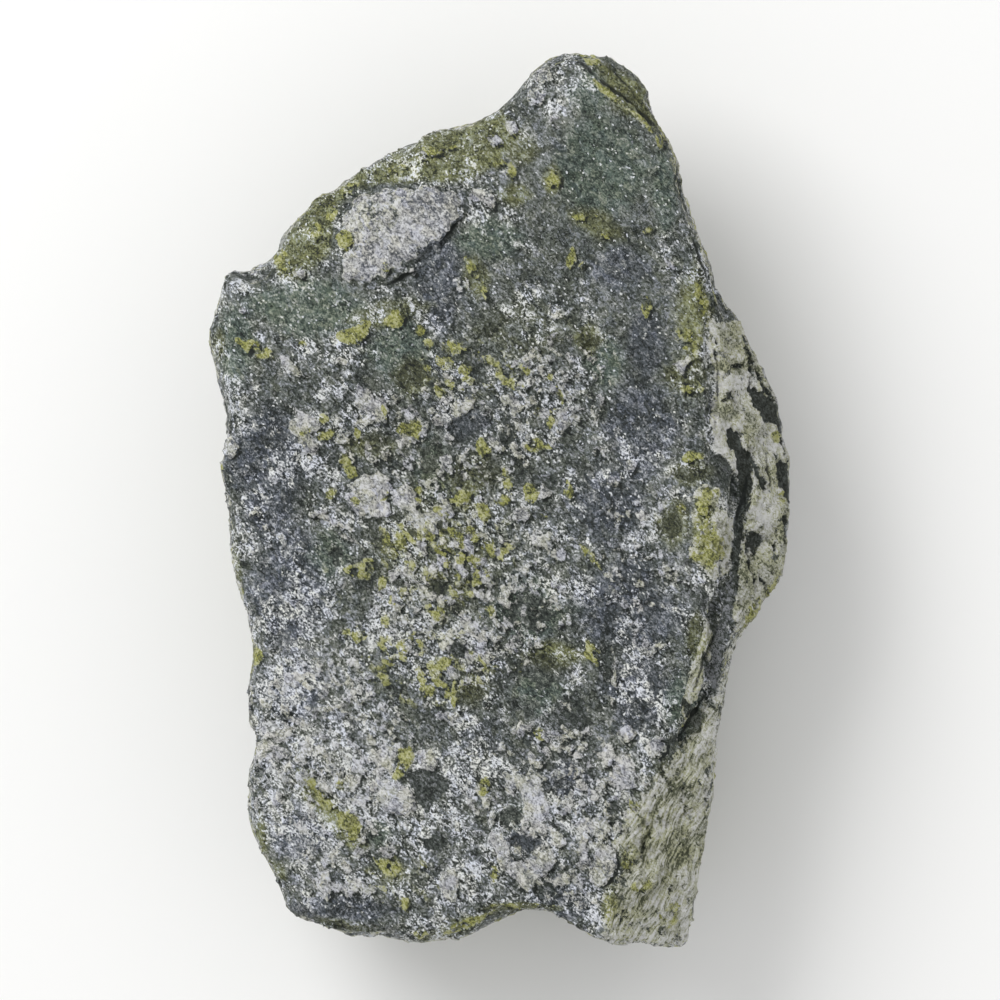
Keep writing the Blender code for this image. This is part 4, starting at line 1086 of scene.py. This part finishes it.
def plain_material(name, colour, rough):
    material = bpy.data.materials.new(name)
    material.use_nodes = True
    tree = material.node_tree
    Nodes(tree).fill(tree.nodes["Principled BSDF"], {"Base Color": colour, "Roughness": rough})
    return material


def area_light(name, place, target, size, power):
    """A square soft light that looks at a point."""
    bpy.ops.object.light_add(type="AREA", location=place)
    light = bpy.context.active_object
    light.name = name
    light.data.size = size
    light.data.energy = power
    light.rotation_euler = (Vector(target) - Vector(place)).to_track_quat("-Z", "Y").to_euler()


class SERPENTINE_OT_stage(bpy.types.Operator):
    """Add the pale floor, the soft light and the camera above the stone"""

    bl_idname = "serpentine.stage"
    bl_label = "Build the stage"

    def execute(self, context):
        settings = context.scene.serpentine_stage
        bpy.ops.object.select_all(action="DESELECT")
        bpy.ops.mesh.primitive_plane_add(size=FLOOR_SIZE, location=(0.0, 0.0, 0.0))
        floor = context.active_object
        floor.name = "studio_floor"
        floor.data.materials.append(plain_material("studio_floor", settings.floor, 0.9))

        area_light("key_light", KEY_PLACE, KEY_TARGET, KEY_SIZE, settings.key)
        world = bpy.data.worlds.new("studio")
        world.use_nodes = True
        tree = world.node_tree
        Nodes(tree).fill(tree.nodes["Background"], {"Color": WHITE, "Strength": settings.world})
        context.scene.world = world

        bpy.ops.object.camera_add(location=(0.0, 0.0, settings.distance), rotation=(0.0, 0.0, 0.0))
        camera = context.active_object
        camera.name = "studio_camera"
        camera.data.sensor_width = SENSOR
        camera.data.lens = SENSOR * (settings.distance - WIDEST_LINE) / settings.width
        camera.data.clip_end = CLIP_END
        context.scene.camera = camera
        context.scene.view_settings.view_transform = "Standard"
        return {"FINISHED"}


class SERPENTINE_PT_sidebar(bpy.types.Panel):
    """The stone's sizes, colours and steps"""

    bl_label = "Raw Serpentine"
    bl_idname = "SERPENTINE_PT_sidebar"
    bl_space_type = "VIEW_3D"
    bl_region_type = "UI"
    bl_category = "Serpentine"

    def draw(self, context):
        for operator in (SERPENTINE_OT_stone, SERPENTINE_OT_stage):
            self.layout.operator(operator.bl_idname)
        for group in ("serpentine_relief", "serpentine_colours", "serpentine_stage"):
            box = self.layout.box()
            settings = getattr(context.scene, group)
            for name in settings.__annotations__:
                box.prop(settings, name)


CLASSES = (
    SerpentineRelief, SerpentineColours, SerpentineStage,
    SERPENTINE_OT_stone, SERPENTINE_OT_stage, SERPENTINE_PT_sidebar,
)


def register():
    for cls in CLASSES:
        bpy.utils.register_class(cls)
    bpy.types.Scene.serpentine_relief = bpy.props.PointerProperty(type=SerpentineRelief)
    bpy.types.Scene.serpentine_colours = bpy.props.PointerProperty(type=SerpentineColours)
    bpy.types.Scene.serpentine_stage = bpy.props.PointerProperty(type=SerpentineStage)


def unregister():
    del bpy.types.Scene.serpentine_stage
    del bpy.types.Scene.serpentine_colours
    del bpy.types.Scene.serpentine_relief
    for cls in reversed(CLASSES):
        bpy.utils.unregister_class(cls)


def main():
    register()
    bpy.ops.serpentine.stone()
    bpy.ops.serpentine.stage()


if __name__ == "__main__":
    main()
